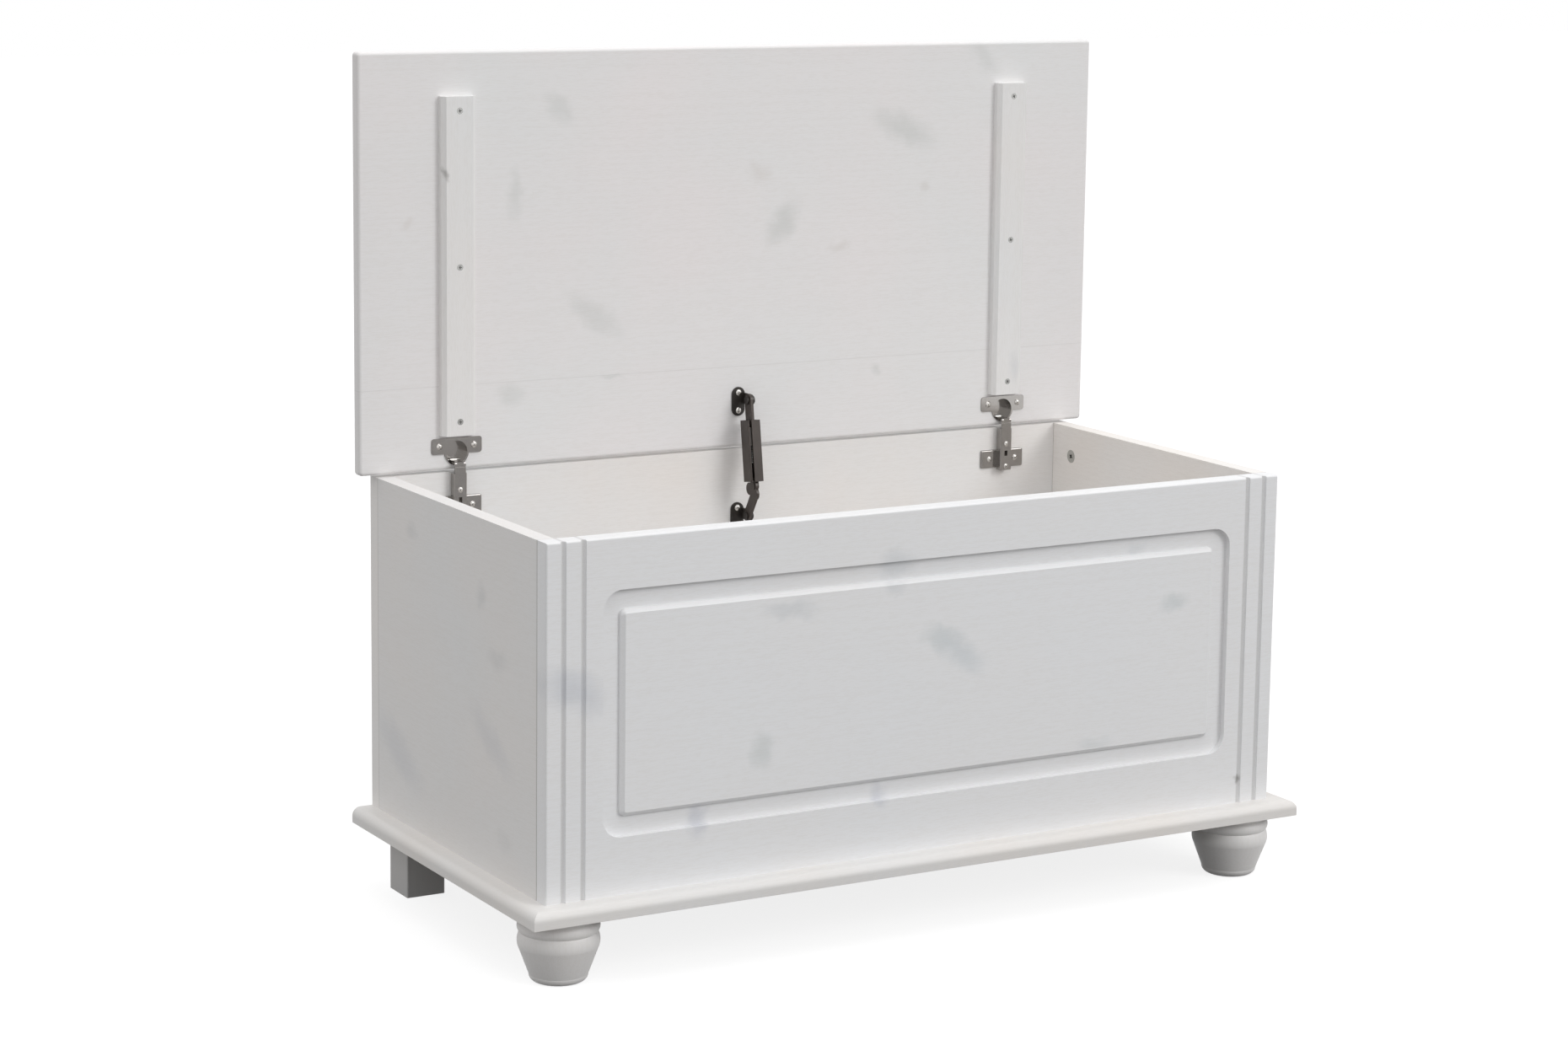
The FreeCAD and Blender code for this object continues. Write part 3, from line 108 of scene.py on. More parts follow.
def glazed_pine(node, grain, seam=None, lines=(), knots=(), warm="#EFECEA", cool="#ECECEC"):
    # Softwood under a thin white spray glaze: satin and nearly white, the growth rings only just showing
    # through, each glued stave a little different, and knots left as faint grey or blue smudges. Listed lines
    # are drawn darker: painted shade along grooves and butt joints, and real glue lines.
    finish, tree, shader, place = new_finish("glazed_pine_" + node)
    low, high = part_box(node)
    middle = Euler(grain).to_matrix() @ ((low + high) / 2)
    edge = middle.z - STAVE_WIDTH / 2 if seam is None else seam
    board = add_node(tree, "ShaderNodeMapping", {
        "Vector": place, "Rotation": grain, "Location": (-middle.x, -middle.y, -edge)}).outputs[0]
    axes = add_node(tree, "ShaderNodeSeparateXYZ", {0: board}).outputs
    count = add_node(tree, "ShaderNodeMath", {0: axes["Z"], 1: STAVE_WIDTH}, operation="DIVIDE").outputs[0]
    number = add_node(tree, "ShaderNodeMath", {0: count}, operation="FLOOR").outputs[0]
    share = add_node(tree, "ShaderNodeMath", {0: count}, operation="FRACT").outputs[0]
    luck = add_node(tree, "ShaderNodeTexWhiteNoise", {"W": number}, noise_dimensions="1D").outputs["Value"]
    off_pith = add_node(tree, "ShaderNodeMath", {0: share, 1: luck}, operation="SUBTRACT").outputs[0]
    across = add_node(tree, "ShaderNodeMath", {0: off_pith, 1: STAVE_WIDTH}, operation="MULTIPLY").outputs[0]
    depth = add_node(tree, "ShaderNodeMath", {0: luck, 1: PITH_WANDER, 2: axes["Y"]},
                     operation="MULTIPLY_ADD").outputs[0]
    deep = add_node(tree, "ShaderNodeMath", {0: depth, 1: PITH_DEPTH}, operation="ADD").outputs[0]
    along = add_node(tree, "ShaderNodeMath", {0: luck, 1: LOG_OFFSET, 2: axes["X"]},
                     operation="MULTIPLY_ADD").outputs[0]
    slow = add_node(tree, "ShaderNodeMath", {0: along, 1: LOG_STRETCH}, operation="MULTIPLY").outputs[0]
    log = add_node(tree, "ShaderNodeCombineXYZ", {0: slow, 1: deep, 2: across}).outputs[0]
    rings = add_node(tree, "ShaderNodeTexWave", {
        "Vector": log, "Scale": WAVE_TURN / RING_SPACING, "Distortion": 9.0, "Detail": 2.0,
        "Detail Scale": 14.0}, wave_type="RINGS", rings_direction="X").outputs["Fac"]
    late = add_node(tree, "ShaderNodeMapRange", {
        "Value": rings, "From Min": 0.45, "From Max": 1.0, "To Max": RING_SHOW,
    }, interpolation_type="SMOOTHSTEP").outputs[0]
    threads = add_node(tree, "ShaderNodeMapping", {
        "Vector": board, "Scale": (FIBRE_STRETCH, 1, 1)}).outputs[0]
    fibre = add_node(tree, "ShaderNodeTexNoise", {
        "Vector": threads, "Scale": 1 / FIBRE_WIDTH, "Detail": 3.0}).outputs["Fac"]
    streak = add_node(tree, "ShaderNodeMapRange", {
        "Value": fibre, "From Min": 0.5, "From Max": 0.75, "To Max": FIBRE_SHOW}).outputs[0]
    cloud = add_node(tree, "ShaderNodeTexNoise", {
        "Vector": place, "Scale": 1 / CLOUD_WIDTH, "Detail": 3.0}).outputs["Fac"]
    tone = add_node(tree, "ShaderNodeMapRange", {
        "Value": cloud, "From Min": 0.3, "From Max": 0.7}).outputs[0]
    layers = [(tone, warm), (late, "#CFC8BE"), (streak, "#BDB8B0")]
    spot_of = add_node(tree, "ShaderNodeSeparateXYZ", {0: place}).outputs
    # Each listed line is drawn darker: painted shade along grooves and butt joints, a real glue line on the
    # lid.
    for axis, at, half, strength in lines:
        off = add_node(tree, "ShaderNodeMath", {0: spot_of[axis], 1: at},
                       operation="SUBTRACT").outputs[0]
        away = add_node(tree, "ShaderNodeMath", {0: off}, operation="ABSOLUTE").outputs[0]
        shade_and_glue_line = add_node(tree, "ShaderNodeMapRange", {
            "Value": away, "From Min": half, "From Max": 0.0, "To Max": strength}).outputs[0]
        layers.append((shade_and_glue_line, "#6E675F"))
    colour = linear(cool)
    for share_of, tint in layers:
        colour = add_node(tree, "ShaderNodeMix", {0: share_of, 6: colour, 7: linear(tint)},
                          data_type="RGBA").outputs[2]
    drift = add_node(tree, "ShaderNodeTexNoise", {
        "Vector": place, "Scale": 1 / KNOT_WAVER_WIDTH, "Detail": 3.0}).outputs["Color"]
    bent = add_node(tree, "ShaderNodeVectorMath", {0: drift, 1: [KNOT_WAVER] * 3, 2: place},
                    operation="MULTIPLY_ADD").outputs[0]
    for spot, half, turn, strength, tint in knots:
        local = add_node(tree, "ShaderNodeMapping", {
            "Vector": bent, "Location": [part + KNOT_WAVER / 2 for part in spot], "Rotation": turn,
            "Scale": half}, vector_type="TEXTURE").outputs[0]
        reach = add_node(tree, "ShaderNodeVectorMath", {0: local}, operation="LENGTH").outputs["Value"]
        shade = add_node(tree, "ShaderNodeMapRange", {
            "Value": reach, "From Min": 1.0, "From Max": 0.1, "To Max": strength,
        }, interpolation_type="SMOOTHSTEP").outputs[0]
        colour = add_node(tree, "ShaderNodeMix", {0: shade, 6: colour, 7: linear(tint)},
                          data_type="RGBA").outputs[2]
    tree.links.new(colour, shader.inputs["Base Color"])
    gloss = add_node(tree, "ShaderNodeMapRange", {"Value": fibre, "To Min": 0.42, "To Max": 0.52}).outputs[0]
    tree.links.new(gloss, shader.inputs["Roughness"])
    relief = add_node(tree, "ShaderNodeMath", {0: rings, 1: RING_RELIEF, 2: fibre},
                      operation="MULTIPLY_ADD").outputs[0]
    bump = add_node(tree, "ShaderNodeBump", {
        "Height": relief, "Strength": 0.1, "Distance": GRAIN_DEPTH}).outputs[0]
    tree.links.new(bump, shader.inputs["Normal"])
    return finish


def dress(node, finish):
    nodes[node].data.materials.clear()
    nodes[node].data.materials.append(finish)


for side in ("left", "right"):
    foot = "front_%s_foot" % side
    dress(foot, glazed_pine(foot, UPRIGHT))
    block = "rear_%s_block" % side
    # The blocks' greyer colours are painted shade, for the shade they stand in under the chest.
    dress(block, glazed_pine(block, UPRIGHT, warm="#C2BEBB", cool="#BFBFBF"))

# Base board. One pine board glued up from staves that run the length of the chest, planed and run through
# a moulder that rounds its top edge. It carries the walls and stands on the feet and blocks.
FLAT = (math.pi / 2, 0, 0)
dress("base_board", glazed_pine("base_board", FLAT, warm="#E7E3DF", cool="#E6E6E6"))

# Front panel. A 20 mm pine board with level grain, routed with end grooves and a channel round its raised
# field. Bluish and grey knots show through the glaze, and one small dark one sits on a right-hand groove.
LEVEL = (0, 0, 0)
THROUGH = 0.5
KNOT_SPREAD = 1.5
KNOT_SHOW = 0.72


def face_knot(x, y, z, half_x, half_z, slope, strength, tint="#AEB6BC"):
    half = (half_x * KNOT_SPREAD, THROUGH, half_z * KNOT_SPREAD)
    return (x, y, z), half, (0, math.radians(slope), 0), strength * KNOT_SHOW, tint


front_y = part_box("front_panel")[0].y
front_knots = [
    face_knot(-0.165, front_y, 0.351, 0.030, 0.009, 5, 0.35),
    face_knot(-0.045, front_y, 0.361, 0.012, 0.007, 0, 0.30),
    face_knot(-0.040, front_y, 0.387, 0.020, 0.014, 0, 0.38),
    face_knot(0.010, front_y, 0.307, 0.022, 0.011, 8, 0.32, "#A9B6B8"),
    face_knot(0.036, front_y, 0.288, 0.032, 0.014, 35, 0.40, "#ABB9C0"),
    face_knot(0.303, front_y, 0.315, 0.018, 0.008, 0, 0.40, "#A9B6B8"),
    face_knot(-0.197, front_y, 0.211, 0.013, 0.018, 0, 0.36, "#A9B3B1"),
    face_knot(-0.268, front_y, 0.147, 0.011, 0.018, 0, 0.42, "#A6ABBD"),
    face_knot(-0.057, front_y, 0.147, 0.010, 0.013, 0, 0.34, "#A6ABBD"),
    face_knot(-0.405, front_y, 0.293, 0.036, 0.019, 25, 0.45, "#A9B0BE"),
    face_knot(0.205, front_y, 0.171, 0.020, 0.008, 0, 0.24, "#A9B6B8"),
    face_knot(0.255, front_y, 0.375, 0.012, 0.008, 0, 0.22),
    face_knot(0.393, front_y, 0.112, 0.0042, 0.0042, 0, 0.9, "#6F6B68"),
]
# Painted shade: a darker line down each end groove, where shade gathers in the recess.
GROOVE_INSET = 0.0185
GROOVE_PITCH = 0.0215
GROOVE_HALF = 0.0026
GROOVE_SHADE = 0.3
half_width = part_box("front_panel")[1].x
groove_shade_lines = []
for way in (-1, 1):
    for inset in (GROOVE_INSET, GROOVE_INSET + GROOVE_PITCH):
        groove_shade_lines.append(("X", way * (half_width - inset), GROOVE_HALF, GROOVE_SHADE))
dress("front_panel", glazed_pine("front_panel", LEVEL, lines=groove_shade_lines, knots=front_knots, warm="#EEEEEF",
                                 cool="#EEEFF1"))

# Side panels. Plain 18 mm pine boards with level grain, butted between the front and back panels and drawn
# tight to them by cam locks.
LENGTHWAYS = (0, 0, -math.pi / 2)


def side_knot(x, y, z, half_y, half_z, slope, strength, tint="#A9ADB0"):
    half = (THROUGH, half_y * KNOT_SPREAD, half_z * KNOT_SPREAD)
    return (x, y, z), half, (math.radians(slope), 0, 0), strength * KNOT_SHOW, tint


# Painted shade: a darker line along each butt joint with the front and back panels, where shade gathers in
# the gap.
JOINT_HALF = 0.0016
JOINT_SHADE = 0.45
side_low, side_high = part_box("left_side_panel")
joint_shade_lines = [("Y", y, JOINT_HALF, JOINT_SHADE) for y in (side_low.y, side_high.y)]
left_x = side_low.x
left_knots = [
    side_knot(left_x, -0.053, 0.363, 0.012, 0.012, 0, 0.30),
    side_knot(left_x, -0.090, 0.305, 0.022, 0.011, 0, 0.25),
    side_knot(left_x, -0.075, 0.220, 0.050, 0.016, 30, 0.24, "#A6ABB8"),
    side_knot(left_x, 0.150, 0.160, 0.060, 0.022, 25, 0.28, "#A9AFBC"),
    side_knot(left_x, 0.115, 0.400, 0.014, 0.009, 0, 0.26),
    side_knot(left_x, -0.105, 0.126, 0.016, 0.011, 0, 0.14),
]
dress("left_side_panel", glazed_pine("left_side_panel", LENGTHWAYS, lines=joint_shade_lines, knots=left_knots,
                                     warm="#EAE7E5", cool="#E8E8E8"))
right_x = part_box("right_side_panel")[1].x
right_knots = [
    side_knot(right_x, 0.060, 0.305, 0.016, 0.011, 0, 0.30),
    side_knot(right_x, -0.110, 0.195, 0.040, 0.014, 20, 0.28, "#A6ABB8"),
]
# The right panel's warmer, lighter colours are painted light: warm light bounced onto its inner face.
dress("right_side_panel", glazed_pine("right_side_panel", LENGTHWAYS, lines=joint_shade_lines, knots=right_knots,
                                      warm="#F2ECE6", cool="#F0EEEC"))

# Back panel. A plain 18 mm pine board that closes the chest behind and carries the hinge plates and the
# lower bracket of the lid stay.
back_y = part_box("back_panel")[1].y
back_knots = [
    face_knot(-0.22, back_y, 0.275, 0.018, 0.012, 0, 0.30),
    face_knot(0.16, back_y, 0.335, 0.026, 0.012, 15, 0.28),
    face_knot(0.27, back_y, 0.175, 0.013, 0.013, 0, 0.32),
]
dress("back_panel", glazed_pine("back_panel", LEVEL, knots=back_knots, warm="#F0EBE7"))

# Corner fittings. Die-cast cam discs of 15 mm in the side panels turn on steel bolts in the front and back
# panels, with beech dowels between them. Only the discs' slotted faces show, inside the chest.
PLATING_DARK = 0.72
PLATING_RELIEF = 0.00005


def plated(name, colour, roughness, grit=0.0008, spread=0.12):
    # Plated steel or zinc: bright metal whose thin plating is a little uneven, so its gloss wanders. The
    # grit is drawn coarser than life so that it shows.
    finish, tree, shader, place = new_finish(name)
    grain = add_node(tree, "ShaderNodeTexNoise", {
        "Vector": place, "Scale": 1 / grit, "Detail": 4.0}).outputs["Fac"]
    dull = add_node(tree, "ShaderNodeMapRange", {
        "Value": grain, "From Min": 0.3, "From Max": 0.7, "To Min": roughness,
        "To Max": roughness + spread}).outputs[0]
    shade = add_node(tree, "ShaderNodeMapRange", {
        "Value": grain, "From Min": 0.35, "From Max": 0.75, "To Max": 0.25}).outputs[0]
    dark = [channel * PLATING_DARK for channel in linear(colour)[:3]] + [1]
    mixed = add_node(tree, "ShaderNodeMix", {0: shade, 6: linear(colour), 7: dark},
                     data_type="RGBA").outputs[2]
    bump = add_node(tree, "ShaderNodeBump", {
        "Height": grain, "Strength": 0.1, "Distance": PLATING_RELIEF}).outputs[0]
    tree.links.new(mixed, shader.inputs["Base Color"])
    tree.links.new(dull, shader.inputs["Roughness"])
    tree.links.new(bump, shader.inputs["Normal"])
    shader.inputs["Metallic"].default_value = 1.0
    return finish


zinc = plated("zinc_plated_steel", "#A5A5A2", 0.34)
cast_zinc = plated("die_cast_zinc", "#C4C4C0", 0.42, grit=0.0015)
SPIN_SEED = 5


def cross_head_tree(name, domed, shanked):
    # Instances one cross-slotted head on every given point, turned as the point's aim says
    tree = bpy.data.node_groups.new(name, "GeometryNodeTree")
    tree.interface.new_socket("Places", in_out="INPUT", socket_type="NodeSocketGeometry")
    for size in ("Base Radius", "Top Radius", "Head Height", "Head Rise", "Dome Radius", "Shank Radius",
                 "Shank Length", "Slot Length", "Slot Width", "Slot Depth"):
        tree.interface.new_socket(size, in_out="INPUT", socket_type="NodeSocketFloat")
    tree.interface.new_socket("Finish", in_out="INPUT", socket_type="NodeSocketMaterial")
    tree.interface.new_socket("Screws", in_out="OUTPUT", socket_type="NodeSocketGeometry")
    given = add_node(tree, "NodeGroupInput").outputs
    sunk = add_node(tree, "ShaderNodeMath", {0: given["Head Rise"], 1: given["Head Height"]},
                    operation="SUBTRACT").outputs[0]
    sunk_place = add_node(tree, "ShaderNodeCombineXYZ", {2: sunk}).outputs[0]
    head = add_node(tree, "GeometryNodeMeshCone", {"Vertices": 32, "Radius Top": given["Top Radius"],
                                                   "Radius Bottom": given["Base Radius"],
                                                   "Depth": given["Head Height"]}).outputs["Mesh"]
    head = add_node(tree, "GeometryNodeTransform", {"Geometry": head, "Translation": sunk_place}).outputs[0]
    if domed:
        ball = add_node(tree, "GeometryNodeMeshUVSphere", {
            "Segments": 32, "Rings": 24, "Radius": given["Dome Radius"]}).outputs["Mesh"]
        drop = add_node(tree, "ShaderNodeMath", {0: given["Head Rise"], 1: given["Dome Radius"]},
                        operation="SUBTRACT").outputs[0]
        drop_place = add_node(tree, "ShaderNodeCombineXYZ", {2: drop}).outputs[0]
        ball = add_node(tree, "GeometryNodeTransform", {
            "Geometry": ball, "Translation": drop_place}).outputs[0]
        rounded = add_node(tree, "GeometryNodeMeshBoolean", {"Mesh 2": head}, operation="INTERSECT")
        tree.links.new(ball, rounded.inputs["Mesh 2"])
        head = rounded.outputs["Mesh"]
    depth = add_node(tree, "ShaderNodeMath", {0: given["Slot Depth"], 1: 2.0},
                     operation="MULTIPLY").outputs[0]
    top_place = add_node(tree, "ShaderNodeCombineXYZ", {2: given["Head Rise"]}).outputs[0]
    slotted = add_node(tree, "GeometryNodeMeshBoolean", {"Mesh 1": head}, operation="DIFFERENCE")
    length, width = given["Slot Length"], given["Slot Width"]
    for across, along in ((length, width), (width, length)):
        slot_size = add_node(tree, "ShaderNodeCombineXYZ", {0: across, 1: along, 2: depth}).outputs[0]
        bar = add_node(tree, "GeometryNodeMeshCube", {"Size": slot_size}).outputs["Mesh"]
        bar = add_node(tree, "GeometryNodeTransform", {"Geometry": bar, "Translation": top_place}).outputs[0]
        tree.links.new(bar, slotted.inputs["Mesh 2"])
    whole = slotted.outputs["Mesh"]
    if shanked:
        half = add_node(tree, "ShaderNodeMath", {0: given["Shank Length"], 1: -0.5},
                        operation="MULTIPLY").outputs[0]
        reach = add_node(tree, "ShaderNodeMath", {0: half, 1: sunk}, operation="ADD").outputs[0]
        shank_place = add_node(tree, "ShaderNodeCombineXYZ", {2: reach}).outputs[0]
        shank = add_node(tree, "GeometryNodeMeshCylinder", {"Vertices": 16, "Radius": given["Shank Radius"],
                                                            "Depth": given["Shank Length"]}).outputs["Mesh"]
        shank = add_node(tree, "GeometryNodeTransform", {
            "Geometry": shank, "Translation": shank_place}).outputs[0]
        joined = add_node(tree, "GeometryNodeJoinGeometry", {"Geometry": whole})
        tree.links.new(shank, joined.inputs["Geometry"])
        whole = joined.outputs[0]
    aim = add_node(tree, "GeometryNodeInputNamedAttribute", {"Name": "aim"},
                   data_type="FLOAT_VECTOR").outputs[0]
    placed = add_node(tree, "GeometryNodeInstanceOnPoints", {"Points": given["Places"], "Instance": whole,
                                                             "Rotation": aim}).outputs[0]
    spin = add_node(tree, "FunctionNodeRandomValue", {2: 0.0, 3: math.pi, "Seed": SPIN_SEED},
                    data_type="FLOAT").outputs[1]
    spin = add_node(tree, "ShaderNodeCombineXYZ", {2: spin}).outputs[0]
    placed = add_node(tree, "GeometryNodeRotateInstances", {"Instances": placed, "Rotation": spin}).outputs[0]
    real = add_node(tree, "GeometryNodeRealizeInstances", {"Geometry": placed}).outputs[0]
    coated = add_node(tree, "GeometryNodeSetMaterial", {
        "Geometry": real, "Material": given["Finish"]}).outputs[0]
    add_node(tree, "NodeGroupOutput", {"Screws": coated})
    return tree


TO_FRONT = (math.pi / 2, 0, 0)
TO_RIGHT = (0, math.pi / 2, 0)
TO_LEFT = (0, -math.pi / 2, 0)
TO_TOP = (0, 0, 0)
TO_FLOOR = (math.pi, 0, 0)


def grow(name, tree, places, sizes):
    # Runs a tree over points that each carry an aim, and keeps the result as a plain mesh
    points = bpy.data.meshes.new(name + "_places")
    points.from_pydata([place for place, aim in places], [], [])
    aims = points.attributes.new("aim", "FLOAT_VECTOR", "POINT")
    for spot, (place, aim) in enumerate(places):
        aims.data[spot].vector = aim
    piece = bpy.data.objects.new(name, points)
    scene.collection.objects.link(piece)
    maker = piece.modifiers.new("maker", "NODES")
    maker.node_group = tree
    for socket in tree.interface.items_tree:
        if socket.in_out == "INPUT" and socket.name in sizes:
            maker[socket.identifier] = sizes[socket.name]
    graph = bpy.context.evaluated_depsgraph_get()
    made = bpy.data.meshes.new_from_object(piece.evaluated_get(graph))
    piece.modifiers.clear()
    piece.data = made
    return piece


flush_screws = cross_head_tree("flush_cross_screws", domed=False, shanked=True)
domed_screws = cross_head_tree("domed_cross_screws", domed=True, shanked=True)
slotted_discs = cross_head_tree("slotted_discs", domed=False, shanked=False)

CAM_SETBACK = 0.037
CAM_EDGE = 0.034
CAM_RADIUS = 0.0075
inner_left = side_high.x
inner_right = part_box("right_side_panel")[0].x
cam_places = []
for y in (side_low.y + CAM_SETBACK, side_high.y - CAM_SETBACK):
    for z in (side_low.z + CAM_EDGE, side_high.z - CAM_EDGE):
        cam_places.append(((inner_left, y, z), TO_RIGHT))
        cam_places.append(((inner_right, y, z), TO_LEFT))
cam_discs = grow("cam_lock_discs", slotted_discs, cam_places, {
    "Base Radius": CAM_RADIUS, "Top Radius": CAM_RADIUS, "Head Height": 0.0125, "Slot Length": 0.0056,
    "Slot Width": 0.0018, "Slot Depth": 0.004, "Finish": cast_zinc})
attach(cam_discs, "case")
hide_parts("cam_locks")
dress("cam_bolts", zinc)

# Bare beech: pale brown and dull, with short darker flecks along the dowel.
FLECK_WIDTH = 0.00143
FLECK_STRETCH = 0.1
beech, tree, shader, place = new_finish("bare_beech")
flecks = add_node(tree, "ShaderNodeMapping", {"Vector": place, "Scale": (1, FLECK_STRETCH, 1)}).outputs[0]
flecks = add_node(tree, "ShaderNodeTexNoise", {"Vector": flecks, "Scale": 1 / FLECK_WIDTH}).outputs["Fac"]
shade = add_node(tree, "ShaderNodeMix", {0: flecks, 6: linear("#C9A27A"), 7: linear("#B98E65")},
                 data_type="RGBA").outputs[2]
tree.links.new(shade, shader.inputs["Base Color"])
shader.inputs["Roughness"].default_value = 0.6
dress("corner_dowels", beech)


# Case screws. Zinc-plated countersunk cross-head screws hold the base to the walls from below, and the feet
# and blocks to the base from inside the chest.
def middle_of(node):
    low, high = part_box(node)
    return (low + high) / 2


floor_z = side_low.z
under_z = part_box("base_board")[0].z
SIDE_SCREWS_Y = 0.1
FRONT_SCREWS_X = 0.3
front_middle = middle_of("front_panel").y
back_middle = middle_of("back_panel").y
left_middle = middle_of("left_side_panel").x
right_middle = middle_of("right_side_panel").x
base_places = [((x, y, under_z), TO_FLOOR) for x in (-FRONT_SCREWS_X, 0, FRONT_SCREWS_X)
               for y in (front_middle, back_middle)]
base_places += [((x, y, under_z), TO_FLOOR) for x in (left_middle, right_middle)
                for y in (-SIDE_SCREWS_Y, SIDE_SCREWS_Y)]
case_screw = {"Base Radius": 0.002, "Top Radius": 0.004, "Head Height": 0.0024, "Shank Radius": 0.002,
              "Shank Length": 0.0426, "Slot Length": 0.0044, "Slot Width": 0.0011, "Slot Depth": 0.0015,
              "Finish": zinc}
foot_screw = dict(case_screw, **{"Base Radius": 0.00275, "Top Radius": 0.005, "Shank Radius": 0.00275})
BLOCK_SCREW_STEP = 0.01
foot_places = []
block_places = []
for side in ("left", "right"):
    foot = middle_of("front_%s_foot" % side)
    foot_places.append(((foot.x, foot.y, floor_z), TO_TOP))
    block = middle_of("rear_%s_block" % side)
    for step in (-BLOCK_SCREW_STEP, BLOCK_SCREW_STEP):
        block_places.append(((block.x, block.y + step, floor_z), TO_TOP))
for name, places, sizes in (("base_screws", base_places, case_screw),
                            ("front_foot_screws", foot_places, foot_screw),
                            ("rear_block_screws", block_places, case_screw)):
    made = grow("cross_" + name, flush_screws, places, sizes)
    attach(made, "case")
    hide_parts(name)

# Lid. A pine board of about 910 by 441 mm, glued up from staves, with softly rounded edges. The glaze leaves
# grey-green knots in view on its inner face and one glue joint that shows as a fine line.
lid_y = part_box("lid_panel")[0].y
GREEN_GREY = "#AEB4AF"
lid_knots = [
    face_knot(-0.225, lid_y, 0.822, 0.022, 0.011, 40, 0.28, GREEN_GREY),
    face_knot(-0.276, lid_y, 0.733, 0.009, 0.024, 0, 0.27, GREEN_GREY),
    face_knot(-0.182, lid_y, 0.599, 0.036, 0.014, 38, 0.30, GREEN_GREY),
    face_knot(0.206, lid_y, 0.789, 0.040, 0.016, 24, 0.40, GREEN_GREY),
    face_knot(0.050, lid_y, 0.689, 0.027, 0.014, -55, 0.42, GREEN_GREY),
    face_knot(0.020, lid_y, 0.747, 0.018, 0.010, 30, 0.22, "#C2B6AC"),
    face_knot(0.122, lid_y, 0.659, 0.012, 0.006, 0, 0.26, "#BDB4AA"),
    face_knot(0.233, lid_y, 0.723, 0.007, 0.007, 0, 0.26, "#B9AEA4"),
    face_knot(-0.160, lid_y, 0.532, 0.013, 0.003, 0, 0.30, GREEN_GREY),
    face_knot(-0.282, lid_y, 0.519, 0.017, 0.011, 0, 0.26, GREEN_GREY),
    face_knot(0.174, lid_y, 0.518, 0.007, 0.007, 0, 0.30, GREEN_GREY),
    face_knot(0.310, lid_y, 0.867, 0.025, 0.011, 50, 0.24, GREEN_GREY),
    face_knot(-0.398, lid_y, 0.705, 0.007, 0.007, 0, 0.22, "#C2B6AC"),
]
LID_SEAM = 0.533
SEAM_HALF = 0.0007
SEAM_SHADE = 0.12
seam_line = ("Z", LID_SEAM, SEAM_HALF, SEAM_SHADE)
dress("lid_panel", glazed_pine("lid_panel", LEVEL, seam=LID_SEAM, lines=[seam_line], knots=lid_knots,
                               warm="#F0ECEC"))

# Lid battens. Two pine strips with chamfered long edges keep the lid flat. Each is held by three small
# countersunk cross-head screws whose plating has gone dull.
EDGE_KNOT = 0.004
batten_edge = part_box("left_lid_batten")[0]
batten_knots = {
    "left": [face_knot(batten_edge.x + EDGE_KNOT, batten_edge.y, 0.757, 0.004, 0.006, 0, 0.7, "#7C7873")],
    "right": [face_knot(0.353, batten_edge.y, 0.512, 0.009, 0.018, 0, 0.24, "#AEB6C2")],
}
dull_zinc = plated("dull_zinc_screws", "#A8A8A6", 0.42)
BATTEN_SCREW_INSET = 0.015
batten_places = []
for side in ("left", "right"):
    name = side + "_lid_batten"
    dress(name, glazed_pine(name, UPRIGHT, knots=batten_knots[side]))
    low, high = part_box(name)
    for z in (low.z + BATTEN_SCREW_INSET, (low.z + high.z) / 2, high.z - BATTEN_SCREW_INSET):
        batten_places.append((((low.x + high.x) / 2, low.y, z), TO_FRONT))
batten_heads = grow("cross_batten_screws", flush_screws, batten_places, {
    "Base Radius": 0.00175, "Top Radius": 0.0034, "Head Height": 0.002, "Shank Radius": 0.00175,
    "Shank Length": 0.02, "Slot Length": 0.0038, "Slot Width": 0.001, "Slot Depth": 0.0013,
    "Finish": dull_zinc})
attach(batten_heads, "lid")
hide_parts("batten_screws")

# Cup hinges. Pressed steel with bright nickel plating: a 26 mm cup with screw wings let into the lid, an arm
# folded into a channel, and a winged plate screwed to the back panel. Pan-head screws hold them.
nickel = plated("nickel_plated_steel", "#A9A6A3", 0.13, spread=0.08)
bright_nickel = plated("bright_nickel_screws", "#D2CFCB", 0.16, spread=0.08)
for name in ("left_hinge_cup", "right_hinge_cup", "left_hinge_arm", "right_hinge_arm", "left_hinge_plate",
             "right_hinge_plate", "hinge_pins"):
    dress(name, nickel)
CUP_SCREW_STEP = 0.02
PLATE_SCREW_STEP = 0.0175
WING_HALF = 0.0085
PLATE_DROP = 0.036
PLATE_SHEET = 0.0025
ARM_SCREW_DROPS = (0.018, 0.044)
rim_z = side_high.z
plate_face_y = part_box("back_panel")[0].y - PLATE_SHEET
cup_places = []
plate_places = []
arm_places = []
for side in ("left", "right"):
    low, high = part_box(side + "_hinge_cup")
    x = (low.x + high.x) / 2
    for step in (-1, 1):
        cup_places.append(((x + CUP_SCREW_STEP * step, low.y, high.z - WING_HALF), TO_FRONT))
        plate_places.append(((x + PLATE_SCREW_STEP * step, plate_face_y, rim_z - PLATE_DROP), TO_FRONT))
    for drop in ARM_SCREW_DROPS:
        arm_places.append(((x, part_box(side + "_hinge_arm")[0].y, rim_z - drop), TO_FRONT))
pan_screw = {"Base Radius": 0.0034, "Top Radius": 0.0033, "Head Height": 0.002, "Head Rise": 0.002,
             "Dome Radius": 0.0045, "Shank Radius": 0.00175, "Shank Length": 0.0135, "Slot Length": 0.0036,
             "Slot Width": 0.0009, "Slot Depth": 0.0012, "Finish": bright_nickel}
arm_screw = dict(pan_screw, **{"Base Radius": 0.003, "Top Radius": 0.0029, "Head Height": 0.0016,
                               "Head Rise": 0.0016, "Shank Radius": 0.0019, "Shank Length": 0.008})
